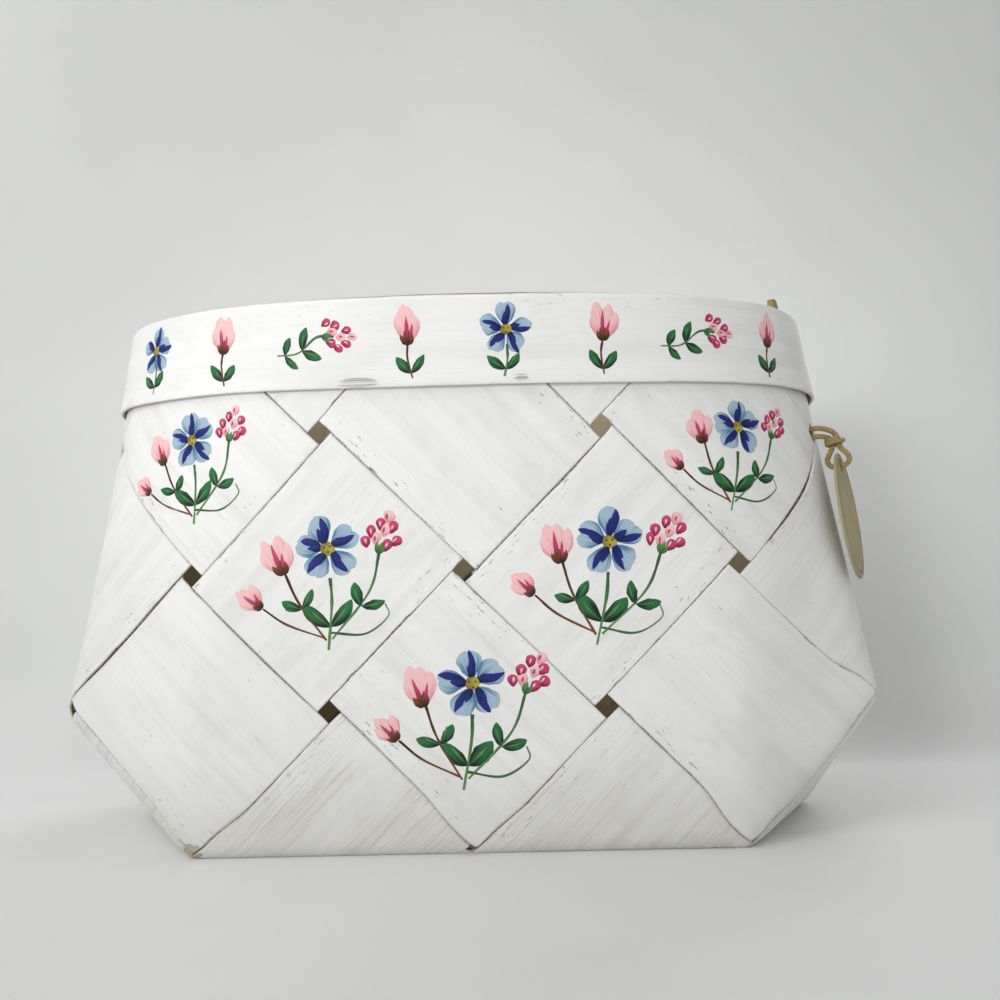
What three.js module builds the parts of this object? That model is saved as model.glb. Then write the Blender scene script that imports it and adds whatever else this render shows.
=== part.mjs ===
// A small basket plaited on the bias from eight wide wood splints, with a bent-wood
// band outside and inside the rim and an oval tag on a loop of twine.
// Millimetres, +Z up, front along -Y, origin on the floor under the middle of the base.
import * as THREE from 'three';

// Splints and weave
const splintWidth = 46.4;
const splintGap = 4.4; // open gap between neighbouring splints
const splintThickness = 0.9;
const layerGap = 0.3; // clearance between two splints where they cross
const splintTrim = 5; // the splint ends are cut this far below the second row of cells

// Body: a flat front and back, four low corners that stand out, and an oval rim
const frontHalfDepth = 55;
const cornerHalfWidth = 111.5; // the widest corners, half a cell above the base
const cornerSetback = 17.5; // how far those corners lie behind the front face
const sideBulge = 1.5; // the middle of the side lies this far beyond those corners
const baseEndInset = 12; // and the middle of the base's short edge this far inside them
const baseFoldRadius = 3.5;
const cornerRounding = 3.6; // half the length over which a corner bends, low on the wall
const rimRounding = 25; // the same at the rim
const rimHalfWidth = 97.5; // the oval at the top of the weave
const rimHalfDepth = 77;
const rimPower = 2.7; // 2 is an ellipse, more is squarer

// Rim bands
const bandHeight = 21.4;
const bandThickness = 1.2;
const bandClearance = 0.45; // between a band and the splints
const bandProud = 1.2; // the bands stand this far above the splint ends
const bandLap = 30; // overlap of a band's two ends
const lapClearance = 0.3;
const outerLapPlace = 241; // middle of a band's lap, round the wall from the front middle
const innerLapPlace = 330;
const stubPlace = 93.5; // a raw splint end that stands up between the bands
const stubWidth = 3.2;
const stubRise = 2.6; // above the bands

// Twine and tag
const twineDiameter = 1.5;
const twineSides = 8;
const twineSteps = 44;
const knotCordDiameter = 1.7;
const knotBore = 3.8;
const stopKnotRadius = 2.2;
const stopKnotCord = 1.5;
const fitClearance = 0.3;
const tagLength = 35.5;
const tagWidth = 22;
const tagThickness = 0.8;
const tagStandOff = 5.6; // from the weave's middle surface to the tag at its eyelet
const tagDrop = 10.2; // from the weave hole down to the eyelet
const tagAside = 4.5; // from the weave hole back along the wall to the eyelet
const tagFacing = 28; // degrees from the right side round to the front
const tagLean = 7.5; // degrees, foot of the tag out from the plumb line
const eyeletDiameter = 3.2;
const eyeletMargin = 3.6; // eyelet centre to the top of the tag
const knotRise = 6.2; // eyelet centre to the knot

// Weave lattice. Distances round the wall (s) and up it (z) are counted in cell diagonals:
// s is 0 at the front middle, 1 at the front corner, 2 at the side middle, 4 at the back.
const facetsPerCell = 4;
const normalStep = 0.04; // in cell diagonals, for measuring the surface's slope
const cell = splintWidth + splintGap;
const diagonal = Math.SQRT2 * cell;
const wallRows = 2;
const sideHalfWidth = cornerHalfWidth + sideBulge;
const baseEndHalfWidth = cornerHalfWidth - baseEndInset;
const bellyRow = 0.5;
const layerOffset = (splintThickness + layerGap) / 2;
const weaveHalfThickness = splintThickness + layerGap / 2;
const splintTop = wallRows - splintTrim / diagonal;
const bandTop = splintTop + bandProud / diagonal;
const bandBottom = bandTop - bandHeight / diagonal;

const lerp = THREE.MathUtils.lerp;
const clamp = THREE.MathUtils.clamp;

// The oval that the wall bends towards at the rim, one quarter from front to side
class RimQuarter extends THREE.Curve {
  getPoint(t, target = new THREE.Vector3()) {
    const turn = t * Math.PI / 2;
    const x = rimHalfWidth * Math.abs(Math.sin(turn)) ** (2 / rimPower);
    const y = -rimHalfDepth * Math.abs(Math.cos(turn)) ** (2 / rimPower);
    return target.set(x, y, 0);
  }
}
const rimQuarter = new RimQuarter();

// Low part of the wall in one quarter: flat front, corner facets that fold at the base
function facetOutline(s, z) {
  const rise = clamp(z / bellyRow, 0, 1);
  const foldX = lerp(diagonal, cornerHalfWidth, rise);
  const foldY = -(frontHalfDepth - cornerSetback * rise);
  const sideFoldX = lerp(baseEndHalfWidth, cornerHalfWidth, rise);
  const sideFoldY = -(frontHalfDepth - cornerSetback) * rise;
  const corners = [
    [0, 0, -frontHalfDepth],
    [1, diagonal, -frontHalfDepth],
    [1 + bellyRow * rise, foldX, foldY],
    [2 - bellyRow * rise, sideFoldX, sideFoldY],
    [2, lerp(baseEndHalfWidth, sideHalfWidth, rise), 0],
  ];
  let k = 1;
  while (k < corners.length - 1 && s > corners[k][0]) k += 1;
  const [s0, x0, y0] = corners[k - 1];
  const [s1, x1, y1] = corners[k];
  const t = s1 > s0 ? (s - s0) / (s1 - s0) : 1;
  return [lerp(x0, x1, t), lerp(y0, y1, t)];
}

// Sharp outline of the wall at one height, for any s
function sharpOutline(s, z) {
  const round = THREE.MathUtils.euclideanModulo(s + 4, 8) - 4;
  const signX = round < 0 ? -1 : 1;
  const signY = Math.abs(round) > 2 ? -1 : 1;
  const quarter = Math.abs(round) > 2 ? 4 - Math.abs(round) : Math.abs(round);
  const [lowX, lowY] = facetOutline(quarter, z);
  const rise = Math.max(0, (z - bellyRow) / (wallRows - bellyRow));
  const oval = rimQuarter.getPointAt(clamp(quarter / 2, 0, 1));
  const x = lerp(lowX, oval.x, rise);
  const y = lerp(lowY, oval.y, rise * rise);
  return [signX * x, signY * y];
}

// The wall's middle surface: the outline, averaged over a short stretch so that corners bend
function sharpFootWall(s, z) {
  const rise = clamp((z - bellyRow) / (wallRows - bellyRow), 0, 1);
  const reach = lerp(cornerRounding, rimRounding, rise) / diagonal;
  const samples = 9;
  const point = new THREE.Vector3(0, 0, weaveHalfThickness + z * diagonal);
  for (let k = 0; k < samples; k += 1) {
    const [x, y] = sharpOutline(s + reach * (2 * k / (samples - 1) - 1), z);
    point.x += x / samples;
    point.y += y / samples;
  }
  return point;
}

// The base's middle surface, p and q from -1 to 1, filled in between its four edges
function sharpBase(p, q) {
  const corner = sharpFootWall(1, 0);
  const front = sharpFootWall(p, 0);
  const side = sharpFootWall(2 + q, 0);
  const x = front.x + p * (side.x - corner.x);
  const y = -q * front.y + side.y + q * corner.y;
  return new THREE.Vector3(x, y, weaveHalfThickness);
}

// Round the fold between wall and base: inset is positive on the base, negative up the wall
function foldPoint(s, inset) {
  const reach = baseFoldRadius / diagonal;
  const quarter = Math.abs(s) > 2 ? 4 - Math.abs(s) : Math.abs(s);
  const onBase = quarter <= 1 ? sharpBase(quarter, reach - 1) : sharpBase(1 - reach, quarter - 2);
  onBase.x *= s < 0 ? -1 : 1;
  onBase.y *= Math.abs(s) > 2 ? -1 : 1;
  const t = (inset + reach) / (2 * reach);
  return new THREE.QuadraticBezierCurve3(sharpFootWall(s, reach), sharpFootWall(s, 0), onBase).getPoint(t);
}

function wallPoint(s, z) {
  const round = THREE.MathUtils.euclideanModulo(s + 4, 8) - 4;
  return z < baseFoldRadius / diagonal ? foldPoint(round, -z) : sharpFootWall(round, z);
}

function basePoint(p, q) {
  const inset = 1 - Math.max(Math.abs(p), Math.abs(q));
  if (inset >= baseFoldRadius / diagonal) return sharpBase(p, q);
  const point = foldPoint(Math.abs(q) >= Math.abs(p) ? Math.abs(p) : 2 - Math.abs(q), inset);
  return point.multiply(new THREE.Vector3(Math.sign(p) || 1, q > 0 ? -1 : 1, 1));
}

// A point of the weave in the lattice of one side of the basket (0 front, 1 right, 2 back, 3 left).
// A splint keeps u and runs along v: down its first wall, over the base, up the next wall.
function weavePoint(side, u, v) {
  const across = (u + v) / 2;
  const inward = (v - u) / 2;
  if (inward <= 0) return wallPoint(across + 2 * side, Math.min(-inward, splintTop));
  if (across >= 1) return wallPoint(1 + inward + 2 * side, Math.min(across - 1, splintTop));
  const turns = [[across, inward - 1], [1 - inward, across], [-across, 1 - inward], [inward - 1, -across]];
  return basePoint(...turns[side]);
}

// Outward normal from small steps along the two surface directions
function normalFrom(pointAt, a, b) {
  const alongA = pointAt(a + normalStep, b).sub(pointAt(a - normalStep, b));
  const alongB = pointAt(a, b + normalStep).sub(pointAt(a, b - normalStep));
  return alongB.cross(alongA).normalize();
}

// A closed sheet: nodes hold a point, a normal and an offset along it, faces are triangles
function thickSheet(nodes, faces, thickness) {
  const positions = [];
  for (const face of [1, -1]) {
    for (const { point, normal, offset } of nodes) {
      const moved = point.clone().addScaledVector(normal, offset + face * thickness / 2);
      positions.push(moved.x, moved.y, moved.z);
    }
  }
  const index = [];
  const edges = new Map();
  for (const [a, b, c] of faces) {
    index.push(a, b, c, a + nodes.length, c + nodes.length, b + nodes.length);
    for (const [from, to] of [[a, b], [b, c], [c, a]]) {
      if (!edges.delete(`${to} ${from}`)) edges.set(`${from} ${to}`, [from, to]);
    }
  }
  for (const [from, to] of edges.values()) {
    index.push(from, from + nodes.length, to, to, from + nodes.length, to + nodes.length);
  }
  const geometry = new THREE.BufferGeometry();
  geometry.setAttribute('position', new THREE.Float32BufferAttribute(positions, 3));
  geometry.setIndex(index);
  geometry.computeVertexNormals();
  return geometry;
}

// Places of the nodes across one cell, clear of the gaps on both sides
function cellStations(first) {
  const margin = splintGap / cell / 2;
  const stations = [];
  for (let k = 0; k <= facetsPerCell; k += 1) {
    stations.push(lerp(first + margin, first + 1 - margin, k / facetsPerCell));
  }
  return stations;
}

// One splint from rim to rim: it lies outside in every other cell and crosses over in the gaps
function splint(side, start) {
  const tolerance = 1e-6;
  const acrossStations = cellStations(start);
  const alongStations = [];
  for (let j = start - 2 * wallRows; j < 2 + 2 * wallRows - start; j += 1) {
    const offset = (start + j) % 2 === 0 ? -layerOffset : layerOffset;
    for (const v of cellStations(j)) alongStations.push({ v, offset });
  }
  const heightAt = (u, v) => Math.max((u - v) / 2, (u + v) / 2 - 1);
  const nodes = [];
  const numbers = acrossStations.map((u) => alongStations.map(({ v, offset }) => {
    if (heightAt(u, v) > wallRows + tolerance) return -1;
    const pointAt = (a, b) => weavePoint(side, a, b);
    nodes.push({ point: pointAt(u, v), normal: normalFrom(pointAt, u, v), offset });
    return nodes.length - 1;
  }));
  const faces = [];
  for (let k = 0; k < facetsPerCell; k += 1) {
    for (let l = 0; l + 1 < alongStations.length; l += 1) {
      const u = (acrossStations[k] + acrossStations[k + 1]) / 2;
      const v = (alongStations[l].v + alongStations[l + 1].v) / 2;
      const [a, b] = [numbers[k][l], numbers[k + 1][l]];
      const [d, c] = [numbers[k][l + 1], numbers[k + 1][l + 1]];
      const level = Math.abs((u - v) / 2) < tolerance || Math.abs((u - v) / 2 - wallRows) < tolerance;
      const climbing = (u + v) / 2 - 1 > tolerance;
      const rimCut = Math.abs((u + v) / 2 - 1 - wallRows) < tolerance;
      const split = level || (climbing && !rimCut) ? [[a, c, b], [a, d, c]] : [[a, d, b], [b, d, c]];
      faces.push(...split.filter((face) => Math.min(...face) >= 0));
    }
  }
  return thickSheet(nodes, faces, splintThickness);
}

// A rim band: one strip round the wall, its last stretch stepping over its first
function rimBand(outward, lapMiddle) {
  const length = 8 * diagonal + bandLap;
  const steps = 80;
  const rows = 2;
  const begin = lapMiddle - bandLap / 2;
  const seat = weaveHalfThickness + bandClearance + bandThickness / 2;
  const stepOver = bandThickness + lapClearance;
  const stations = [];
  for (let k = 0; k <= steps; k += 1) stations.push(length * k / steps);
  const nodes = [];
  for (const along of stations) {
    const lifted = THREE.MathUtils.smoothstep(along, length - 2 * bandLap, length - bandLap);
    for (let r = 0; r <= rows; r += 1) {
      const s = (begin + along) / diagonal;
      const z = lerp(bandBottom, bandTop, r / rows);
      const normal = normalFrom(wallPoint, s, z).negate();
      nodes.push({ point: wallPoint(s, z), normal, offset: outward * (seat + lifted * stepOver) });
    }
  }
  const faces = [];
  for (let k = 0; k + 1 < stations.length; k += 1) {
    for (let r = 0; r < rows; r += 1) {
      const a = k * (rows + 1) + r;
      const b = a + rows + 1;
      faces.push([a, b, b + 1], [a, b + 1, a + 1]);
    }
  }
  return thickSheet(nodes, faces, bandThickness);
}

// A splint's torn end, seated on the trimmed ends: width along Y, height along Z
function splintStub() {
  const half = stubWidth / 2;
  const height = bandProud - fitClearance + stubRise;
  const torn = 0.15 * stubRise;
  const outline = new THREE.Shape();
  outline.moveTo(-half, 0);
  outline.lineTo(half, 0);
  outline.lineTo(half, height - 2 * torn);
  outline.lineTo(half / 2, height);
  outline.lineTo(-half / 2, height - torn);
  outline.lineTo(-half, height - torn / 2);
  const depth = 2 * (weaveHalfThickness + bandClearance - fitClearance);
  const geometry = new THREE.ExtrudeGeometry(outline, { depth, bevelEnabled: false });
  geometry.translate(0, 0, -depth / 2);
  geometry.rotateX(Math.PI / 2);
  return geometry.rotateZ(Math.PI / 2);
}

// Twine: out of the weave hole, through the eyelet and back; the middle value is the share of tagAside
function twine() {
  const half = twineDiameter / 2;
  const strand = 0.97;
  const loopHalf = 3;
  const inside = -weaveHalfThickness - fitClearance;
  const eyeletZ = -tagDrop;
  const knotZ = eyeletZ + knotRise;
  const outer = tagStandOff + strand;
  const inner = tagStandOff - strand;
  const route = [
    [inside, 0, 1.15], [0, 0, 1.15], [weaveHalfThickness + 1.2, 0.06, 1.05],
    [tagStandOff - 1.4, 0.4, 0.55], [tagStandOff + 0.3, 0.8, -0.6],
    [outer, 1, knotZ + 1.6], [outer, 1, knotZ - 0.6], [tagStandOff + 2.3, 1, knotZ - 2.6],
    [tagStandOff + loopHalf, 1, eyeletZ + 2.2], [tagStandOff + 2.5, 1, eyeletZ + 0.6],
    [tagStandOff, 1, eyeletZ - 0.5],
    [tagStandOff - 2.5, 1, eyeletZ + 0.6], [tagStandOff - loopHalf, 1, eyeletZ + 2.2],
    [tagStandOff - 2.3, 1, knotZ - 2.6], [inner, 1, knotZ - 0.6], [inner, 1, knotZ + 1.4],
    [tagStandOff - 1.5, 0.72, -1.75], [weaveHalfThickness + 1.2, 0.12, -1.25],
    [0, 0, -1.15], [inside, 0, -1.15],
  ];
  const section = new THREE.Shape();
  section.absarc(0, 0, half, 0, 2 * Math.PI);
  const points = route.map(([x, share, z]) => new THREE.Vector3(x, share * tagAside, z));
  const path = new THREE.CatmullRomCurve3(points);
  return new THREE.ExtrudeGeometry(section, {
    steps: twineSteps, curveSegments: twineSides / 2, extrudePath: path,
  });
}

// Oval tag, eyelet at its own origin, hanging down, its face along X
function hangTag() {
  const outline = new THREE.Shape();
  const ovalSegments = 18;
  outline.absellipse(0, eyeletMargin - tagLength / 2, tagWidth / 2, tagLength / 2, 0, 2 * Math.PI);
  const eyelet = new THREE.Path();
  eyelet.absarc(0, 0, eyeletDiameter / 2, 0, 2 * Math.PI, true);
  outline.holes.push(eyelet);
  const geometry = new THREE.ExtrudeGeometry(outline, {
    depth: tagThickness, bevelEnabled: false, curveSegments: ovalSegments,
  });
  geometry.translate(0, 0, -tagThickness / 2);
  geometry.rotateX(Math.PI / 2);
  return geometry.rotateZ(Math.PI / 2);
}

const paintedWood = { color: 0xf1efea, roughness: 0.62, metalness: 0 };
const rawWood = { color: 0xb28d5c, roughness: 0.75, metalness: 0 };
const juteTwine = { color: 0xc2a878, roughness: 0.9, metalness: 0 };
const tanCard = { color: 0xcbb893, roughness: 0.8, metalness: 0 };

function addPiece(parent, name, geometry, finish) {
  const mesh = new THREE.Mesh(geometry, new THREE.MeshStandardMaterial(finish));
  mesh.name = name;
  parent.add(mesh);
  return mesh;
}

const basket = new THREE.Group();

const sides = ['front', 'right', 'back', 'left'];
sides.forEach((name, side) => {
  addPiece(basket, `${name}_corner_splint`, splint(side, 0), paintedWood);
  addPiece(basket, `${name}_long_splint`, splint(side, -1), paintedWood);
});

addPiece(basket, 'outer_rim_band', rimBand(1, outerLapPlace), paintedWood);
addPiece(basket, 'inner_rim_band', rimBand(-1, innerLapPlace), rawWood);

// Sets an object on the wall's middle surface: X out of the wall, Y level, Z up along it
function setOnWall(object, s, z) {
  const out = normalFrom(wallPoint, s, z).negate();
  const level = new THREE.Vector3(0, 0, 1).cross(out).normalize();
  const up = new THREE.Vector3().crossVectors(out, level);
  object.quaternion.setFromRotationMatrix(new THREE.Matrix4().makeBasis(out, level, up));
  object.position.copy(wallPoint(s, z));
}

const stub = addPiece(basket, 'splint_stub', splintStub(), rawWood);
setOnWall(stub, stubPlace / diagonal, splintTop + fitClearance / diagonal);

// The twine hole: right front corner, upper row of holes
const hanging = new THREE.Group();
setOnWall(hanging, 1.5, 1.5);
basket.add(hanging);

addPiece(hanging, 'tag_twine', twine(), juteTwine);
const knotRadius = (knotBore + knotCordDiameter) / 2;
const knotShape = new THREE.TorusGeometry(knotRadius, knotCordDiameter / 2, 8, 20);
const knot = addPiece(hanging, 'twine_knot', knotShape, juteTwine);
knot.position.set(tagStandOff, tagAside, knotRise - tagDrop);

const stopKnotShape = new THREE.TorusKnotGeometry(stopKnotRadius, stopKnotCord / 2, 48, 7);
const stopKnotDepth = stopKnotRadius / 2 + stopKnotCord / 2;
const stopKnot = addPiece(hanging, 'stop_knot', stopKnotShape, juteTwine);
stopKnot.rotation.y = Math.PI / 2;
stopKnot.position.x = -weaveHalfThickness - 2 * fitClearance - stopKnotDepth;

// The tag hangs from the loop, nearly flat along the wall
const facing = THREE.MathUtils.degToRad(tagFacing);
const lean = THREE.MathUtils.degToRad(tagLean);
const tagSide = new THREE.Vector3(Math.sin(facing), Math.cos(facing), 0);
const tagOut = new THREE.Vector3(Math.cos(facing), -Math.sin(facing), Math.tan(lean)).normalize();
const tagUp = new THREE.Vector3().crossVectors(tagOut, tagSide);
const tag = addPiece(basket, 'hang_tag', hangTag(), tanCard);
tag.quaternion.setFromRotationMatrix(new THREE.Matrix4().makeBasis(tagOut, tagSide, tagUp));
hanging.updateMatrix();
tag.position.set(tagStandOff, tagAside, -tagDrop).applyMatrix4(hanging.matrix);

export default basket;
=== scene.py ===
import math

import bpy
import numpy as np
from mathutils import Matrix, Vector


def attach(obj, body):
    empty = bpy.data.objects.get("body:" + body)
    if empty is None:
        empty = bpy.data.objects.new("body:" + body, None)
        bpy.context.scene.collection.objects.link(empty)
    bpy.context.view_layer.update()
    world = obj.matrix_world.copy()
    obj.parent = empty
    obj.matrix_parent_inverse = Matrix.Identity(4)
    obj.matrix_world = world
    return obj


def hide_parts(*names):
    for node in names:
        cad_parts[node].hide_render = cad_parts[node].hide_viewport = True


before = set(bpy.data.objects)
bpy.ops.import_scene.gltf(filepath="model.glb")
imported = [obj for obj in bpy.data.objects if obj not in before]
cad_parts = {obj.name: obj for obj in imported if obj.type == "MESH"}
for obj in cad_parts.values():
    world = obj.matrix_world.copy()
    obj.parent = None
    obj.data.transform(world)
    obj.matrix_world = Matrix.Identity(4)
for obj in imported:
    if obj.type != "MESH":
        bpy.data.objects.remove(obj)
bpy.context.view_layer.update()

scene = bpy.context.scene
scene.view_settings.view_transform = "Standard"
mm = 0.001

cameraSet = {
    "place": (0.01372, -0.33813, 0.07038),
    "yaw": 0.82, "pitch": 4.16, "roll": 1.4,  # degrees
    "lens": 38.97, "sensor": 36.0,
}


def placeCamera(settings):
    data = bpy.data.cameras.new("basketCamera")
    data.lens = settings["lens"]
    data.sensor_width = settings["sensor"]
    camera = bpy.data.objects.new("basketCamera", data)
    scene.collection.objects.link(camera)
    turn = Matrix.Rotation(math.radians(settings["yaw"]), 3, "Z")
    turn @= Matrix.Rotation(math.radians(settings["pitch"]), 3, "X")
    turn @= Matrix.Rotation(math.radians(settings["roll"]), 3, "Y")
    turn @= Matrix.Rotation(math.pi / 2, 3, "X")  # from looking down to looking at the front
    camera.matrix_world = Matrix.Translation(settings["place"]) @ turn.to_4x4()
    scene.camera = camera


placeCamera(cameraSet)
print("camera placed")

# The weave's middle surface, in millimetres, as the CAD has it
weaveSet = {
    "splintWidth": 46.4, "splintGap": 4.4, "splintThickness": 0.9, "layerGap": 0.3, "splintTrim": 5.0,
    "frontHalfDepth": 55.0, "cornerHalfWidth": 111.5, "cornerSetback": 17.5, "sideBulge": 1.5,
    "baseEndInset": 12.0, "baseFoldRadius": 3.5, "cornerRounding": 3.6, "rimRounding": 25.0,
    "rimHalfWidth": 97.5, "rimHalfDepth": 77.0, "rimPower": 2.7, "roundingSteps": 9,
}
cell = weaveSet["splintWidth"] + weaveSet["splintGap"]
diagonal = math.sqrt(2) * cell
wallRound = 8  # cell diagonals round the wall
wallRows = 2.0
bellyRow = 0.5
layerOffset = (weaveSet["splintThickness"] + weaveSet["layerGap"]) / 2
weaveHalf = weaveSet["splintThickness"] + weaveSet["layerGap"] / 2
splintTop = wallRows - weaveSet["splintTrim"] / diagonal
foldReach = weaveSet["baseFoldRadius"] / diagonal

ovalTurn = np.linspace(0, np.pi / 2, 1201)
ovalX = weaveSet["rimHalfWidth"] * np.abs(np.sin(ovalTurn)) ** (2 / weaveSet["rimPower"])
ovalY = -weaveSet["rimHalfDepth"] * np.abs(np.cos(ovalTurn)) ** (2 / weaveSet["rimPower"])
ovalRun = np.concatenate([[0], np.cumsum(np.hypot(np.diff(ovalX), np.diff(ovalY)))])
ovalRun /= ovalRun[-1]


def mix(a, b, t):
    return a + (b - a) * t


def smooth(t):
    t = np.clip(t, 0, 1)
    return t * t * (3 - 2 * t)


def roundWall(s):
    return np.mod(s + wallRound / 2, wallRound) - wallRound / 2


# Outline of the wall: s runs round it and z up it, both in cell diagonals
def outline(s, z):
    s = roundWall(s)
    away = np.abs(s)
    quarter = np.where(away > 2, 4 - away, away)
    fold = np.clip(z / bellyRow, 0, 1)
    nought = 0 * fold
    depth, corner = weaveSet["frontHalfDepth"], weaveSet["cornerHalfWidth"]
    setback, baseEnd = weaveSet["cornerSetback"], corner - weaveSet["baseEndInset"]
    side = corner + weaveSet["sideBulge"]
    knots = [
        (nought, nought, nought - depth),
        (nought + 1, nought + diagonal, nought - depth),
        (1 + bellyRow * fold, mix(diagonal, corner, fold), setback * fold - depth),
        (2 - bellyRow * fold, mix(baseEnd, corner, fold), (setback - depth) * fold),
        (nought + 2, mix(baseEnd, side, fold), nought),
    ]
    x, y = nought, nought
    for (s0, x0, y0), (s1, x1, y1) in zip(knots, knots[1:]):
        t = np.clip((quarter - s0) / np.maximum(s1 - s0, 1e-9), 0, 1)
        x = np.where(quarter >= s0, mix(x0, x1, t), x)
        y = np.where(quarter >= s0, mix(y0, y1, t), y)
    rise = np.maximum(0, (z - bellyRow) / (wallRows - bellyRow))
    x = mix(x, np.interp(quarter / 2, ovalRun, ovalX), rise)
    y = mix(y, np.interp(quarter / 2, ovalRun, ovalY), rise * rise)
    return np.where(s < 0, -x, x), np.where(away > 2, -y, y)


def wallSharp(s, z):
    s, z = np.broadcast_arrays(np.asarray(s, float), np.asarray(z, float))
    rise = np.clip((z - bellyRow) / (wallRows - bellyRow), 0, 1)
    reach = mix(weaveSet["cornerRounding"], weaveSet["rimRounding"], rise) / diagonal
    point = np.zeros(s.shape + (3,))
    count = weaveSet["roundingSteps"]
    for k in np.linspace(-1, 1, count):
        x, y = outline(s + reach * k, z)
        point[..., 0] += x / count
        point[..., 1] += y / count
    point[..., 2] = weaveHalf + z * diagonal
    return point


def baseSharp(p, q):
    corner = wallSharp(1.0, 0.0)
    front, side = wallSharp(p, 0.0), wallSharp(2 + q, 0.0)
    x = front[..., 0] + p * (side[..., 0] - corner[0])
    y = -q * front[..., 1] + side[..., 1] + q * corner[1]
    return np.stack([x, y, 0 * x + weaveHalf], axis=-1)


# The bend between wall and base: inset is positive on the base, negative up the wall
def foldPoint(s, inset):
    away = np.abs(s)
    quarter = np.where(away > 2, 4 - away, away)
    longEdge = quarter <= 1
    p = np.where(longEdge, quarter, 1 - foldReach)
    q = np.where(longEdge, foldReach - 1, quarter - 2)
    onBase = baseSharp(p, q)
    onBase[..., 0] *= np.where(s < 0, -1, 1)
    onBase[..., 1] *= np.where(away > 2, -1, 1)
    t = ((inset + foldReach) / (2 * foldReach))[..., None]
    return (1 - t) ** 2 * wallSharp(s, foldReach) + 2 * t * (1 - t) * wallSharp(s, 0.0) + t * t * onBase


def wall(s, z):
    s, z = np.broadcast_arrays(np.asarray(s, float), np.asarray(z, float))
    s = roundWall(s)
    point = wallSharp(s, z)
    low = z < foldReach
    if low.any():
        point[low] = foldPoint(s[low], -z[low])
    return point


def base(p, q):
    inset = 1 - np.maximum(np.abs(p), np.abs(q))
    point = baseSharp(p, q)
    near = inset < foldReach
    if near.any():
        a, b = p[near], q[near]
        bend = foldPoint(np.where(np.abs(b) >= np.abs(a), np.abs(a), 2 - np.abs(b)), inset[near])
        bend[..., 0] *= np.where(a < 0, -1, 1)
        bend[..., 1] *= np.where(b > 0, -1, 1)
        point[near] = bend
    return point


# A splint keeps u and runs along v: down its first wall, over the base, up the next wall
def weave(side, u, v):
    across, inward = (u + v) / 2, (v - u) / 2
    down = inward <= 0
    climb = ~down & (across >= 1)
    flat = ~down & ~climb
    point = np.zeros(u.shape + (3,))
    point[down] = wall(across[down] + 2 * side, np.minimum(-inward[down], splintTop))
    point[climb] = wall(1 + inward[climb] + 2 * side, np.minimum(across[climb] - 1, splintTop))
    a, i = across[flat], inward[flat]
    point[flat] = base(*[(a, i - 1), (1 - i, a), (-a, 1 - i), (i - 1, -a)][side])
    return point


# How high up the wall a place on a splint is, in cell diagonals
def heightUp(u, v):
    return np.maximum((u - v) / 2, (u + v) / 2 - 1)


def unit(vector):
    return vector / np.maximum(np.linalg.norm(vector, axis=-1, keepdims=True), 1e-9)


def outwardNormal(pointAt, a, b, step=0.03):
    alongA = pointAt(a + step, b) - pointAt(a - step, b)
    alongB = pointAt(a, b + step) - pointAt(a, b - step)
    return unit(np.cross(alongB, alongA))


def wallNormal(s, z):
    return -outwardNormal(wall, s, z)


# Every crossing swells a little, so that the plaiting shows soft highlights
def swell(u, v):
    return np.sin(np.pi * np.mod(u, 1)) * np.sin(np.pi * np.mod(v, 1))


# Slow random wander along a strip
def wander(rng, along, spacing):
    knots = np.arange(along.min() - spacing, along.max() + 2 * spacing, spacing)
    values = rng.uniform(-1, 1, len(knots))
    place = (along - knots[0]) / spacing
    k = np.floor(place).astype(int)
    return mix(values[k], values[k + 1], smooth(place - k))


# Two matching skins and the walls along their open edges
def closedSheet(outer, inner, quads):
    count = len(outer)
    edges = np.concatenate([quads[:, [k, (k + 1) % 4]] for k in range(4)]).astype(np.int64)
    ends = np.sort(edges, axis=1)
    _, first, uses = np.unique(ends[:, 0] * count + ends[:, 1], return_index=True, return_counts=True)
    rim = edges[first[uses == 1]]
    walls = np.stack([rim[:, 1], rim[:, 0], rim[:, 0] + count, rim[:, 1] + count], axis=1)
    faces = np.concatenate([quads, quads[:, ::-1] + count, walls])
    sides = np.repeat([0, 1, 2], [len(quads), len(quads), len(walls)])
    used, renumbered = np.unique(faces, return_inverse=True)
    return np.concatenate([outer, inner])[used], renumbered.reshape(faces.shape), sides, used % count


def gridQuads(rows, columns):
    number = np.arange(rows * columns).reshape(rows, columns)
    corners = [number[:-1, :-1], number[:-1, 1:], number[1:, 1:], number[1:, :-1]]
    return np.stack([c.ravel() for c in corners], axis=1)


def ringQuads(rows, columns, closed=False):
    number = np.arange(rows * columns).reshape(rows, columns)
    if closed:
        number = np.concatenate([number, number[:1]])
    nextOne = np.roll(number, -1, axis=1)
    return np.stack([number[:-1], nextOne[:-1], nextOne[1:], number[1:]], axis=-1).reshape(-1, 4)


# Profile of a rounded edge: nought at the edge itself, 1 past the reach of the rounding
def roundedEdge(distance, reach):
    return np.sqrt(1 - np.clip(1 - distance / reach, 0, 1) ** 2)


# What the wood finishes read: along and across the strip, its own number, distance to its edge
def stripData(source, along, across, number, edge):
    *place, edge = np.broadcast_arrays(along, across, number, edge)
    return {"strip": np.stack(place, axis=-1).reshape(-1, 3)[source], "edge": edge.ravel()[source]}


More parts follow.
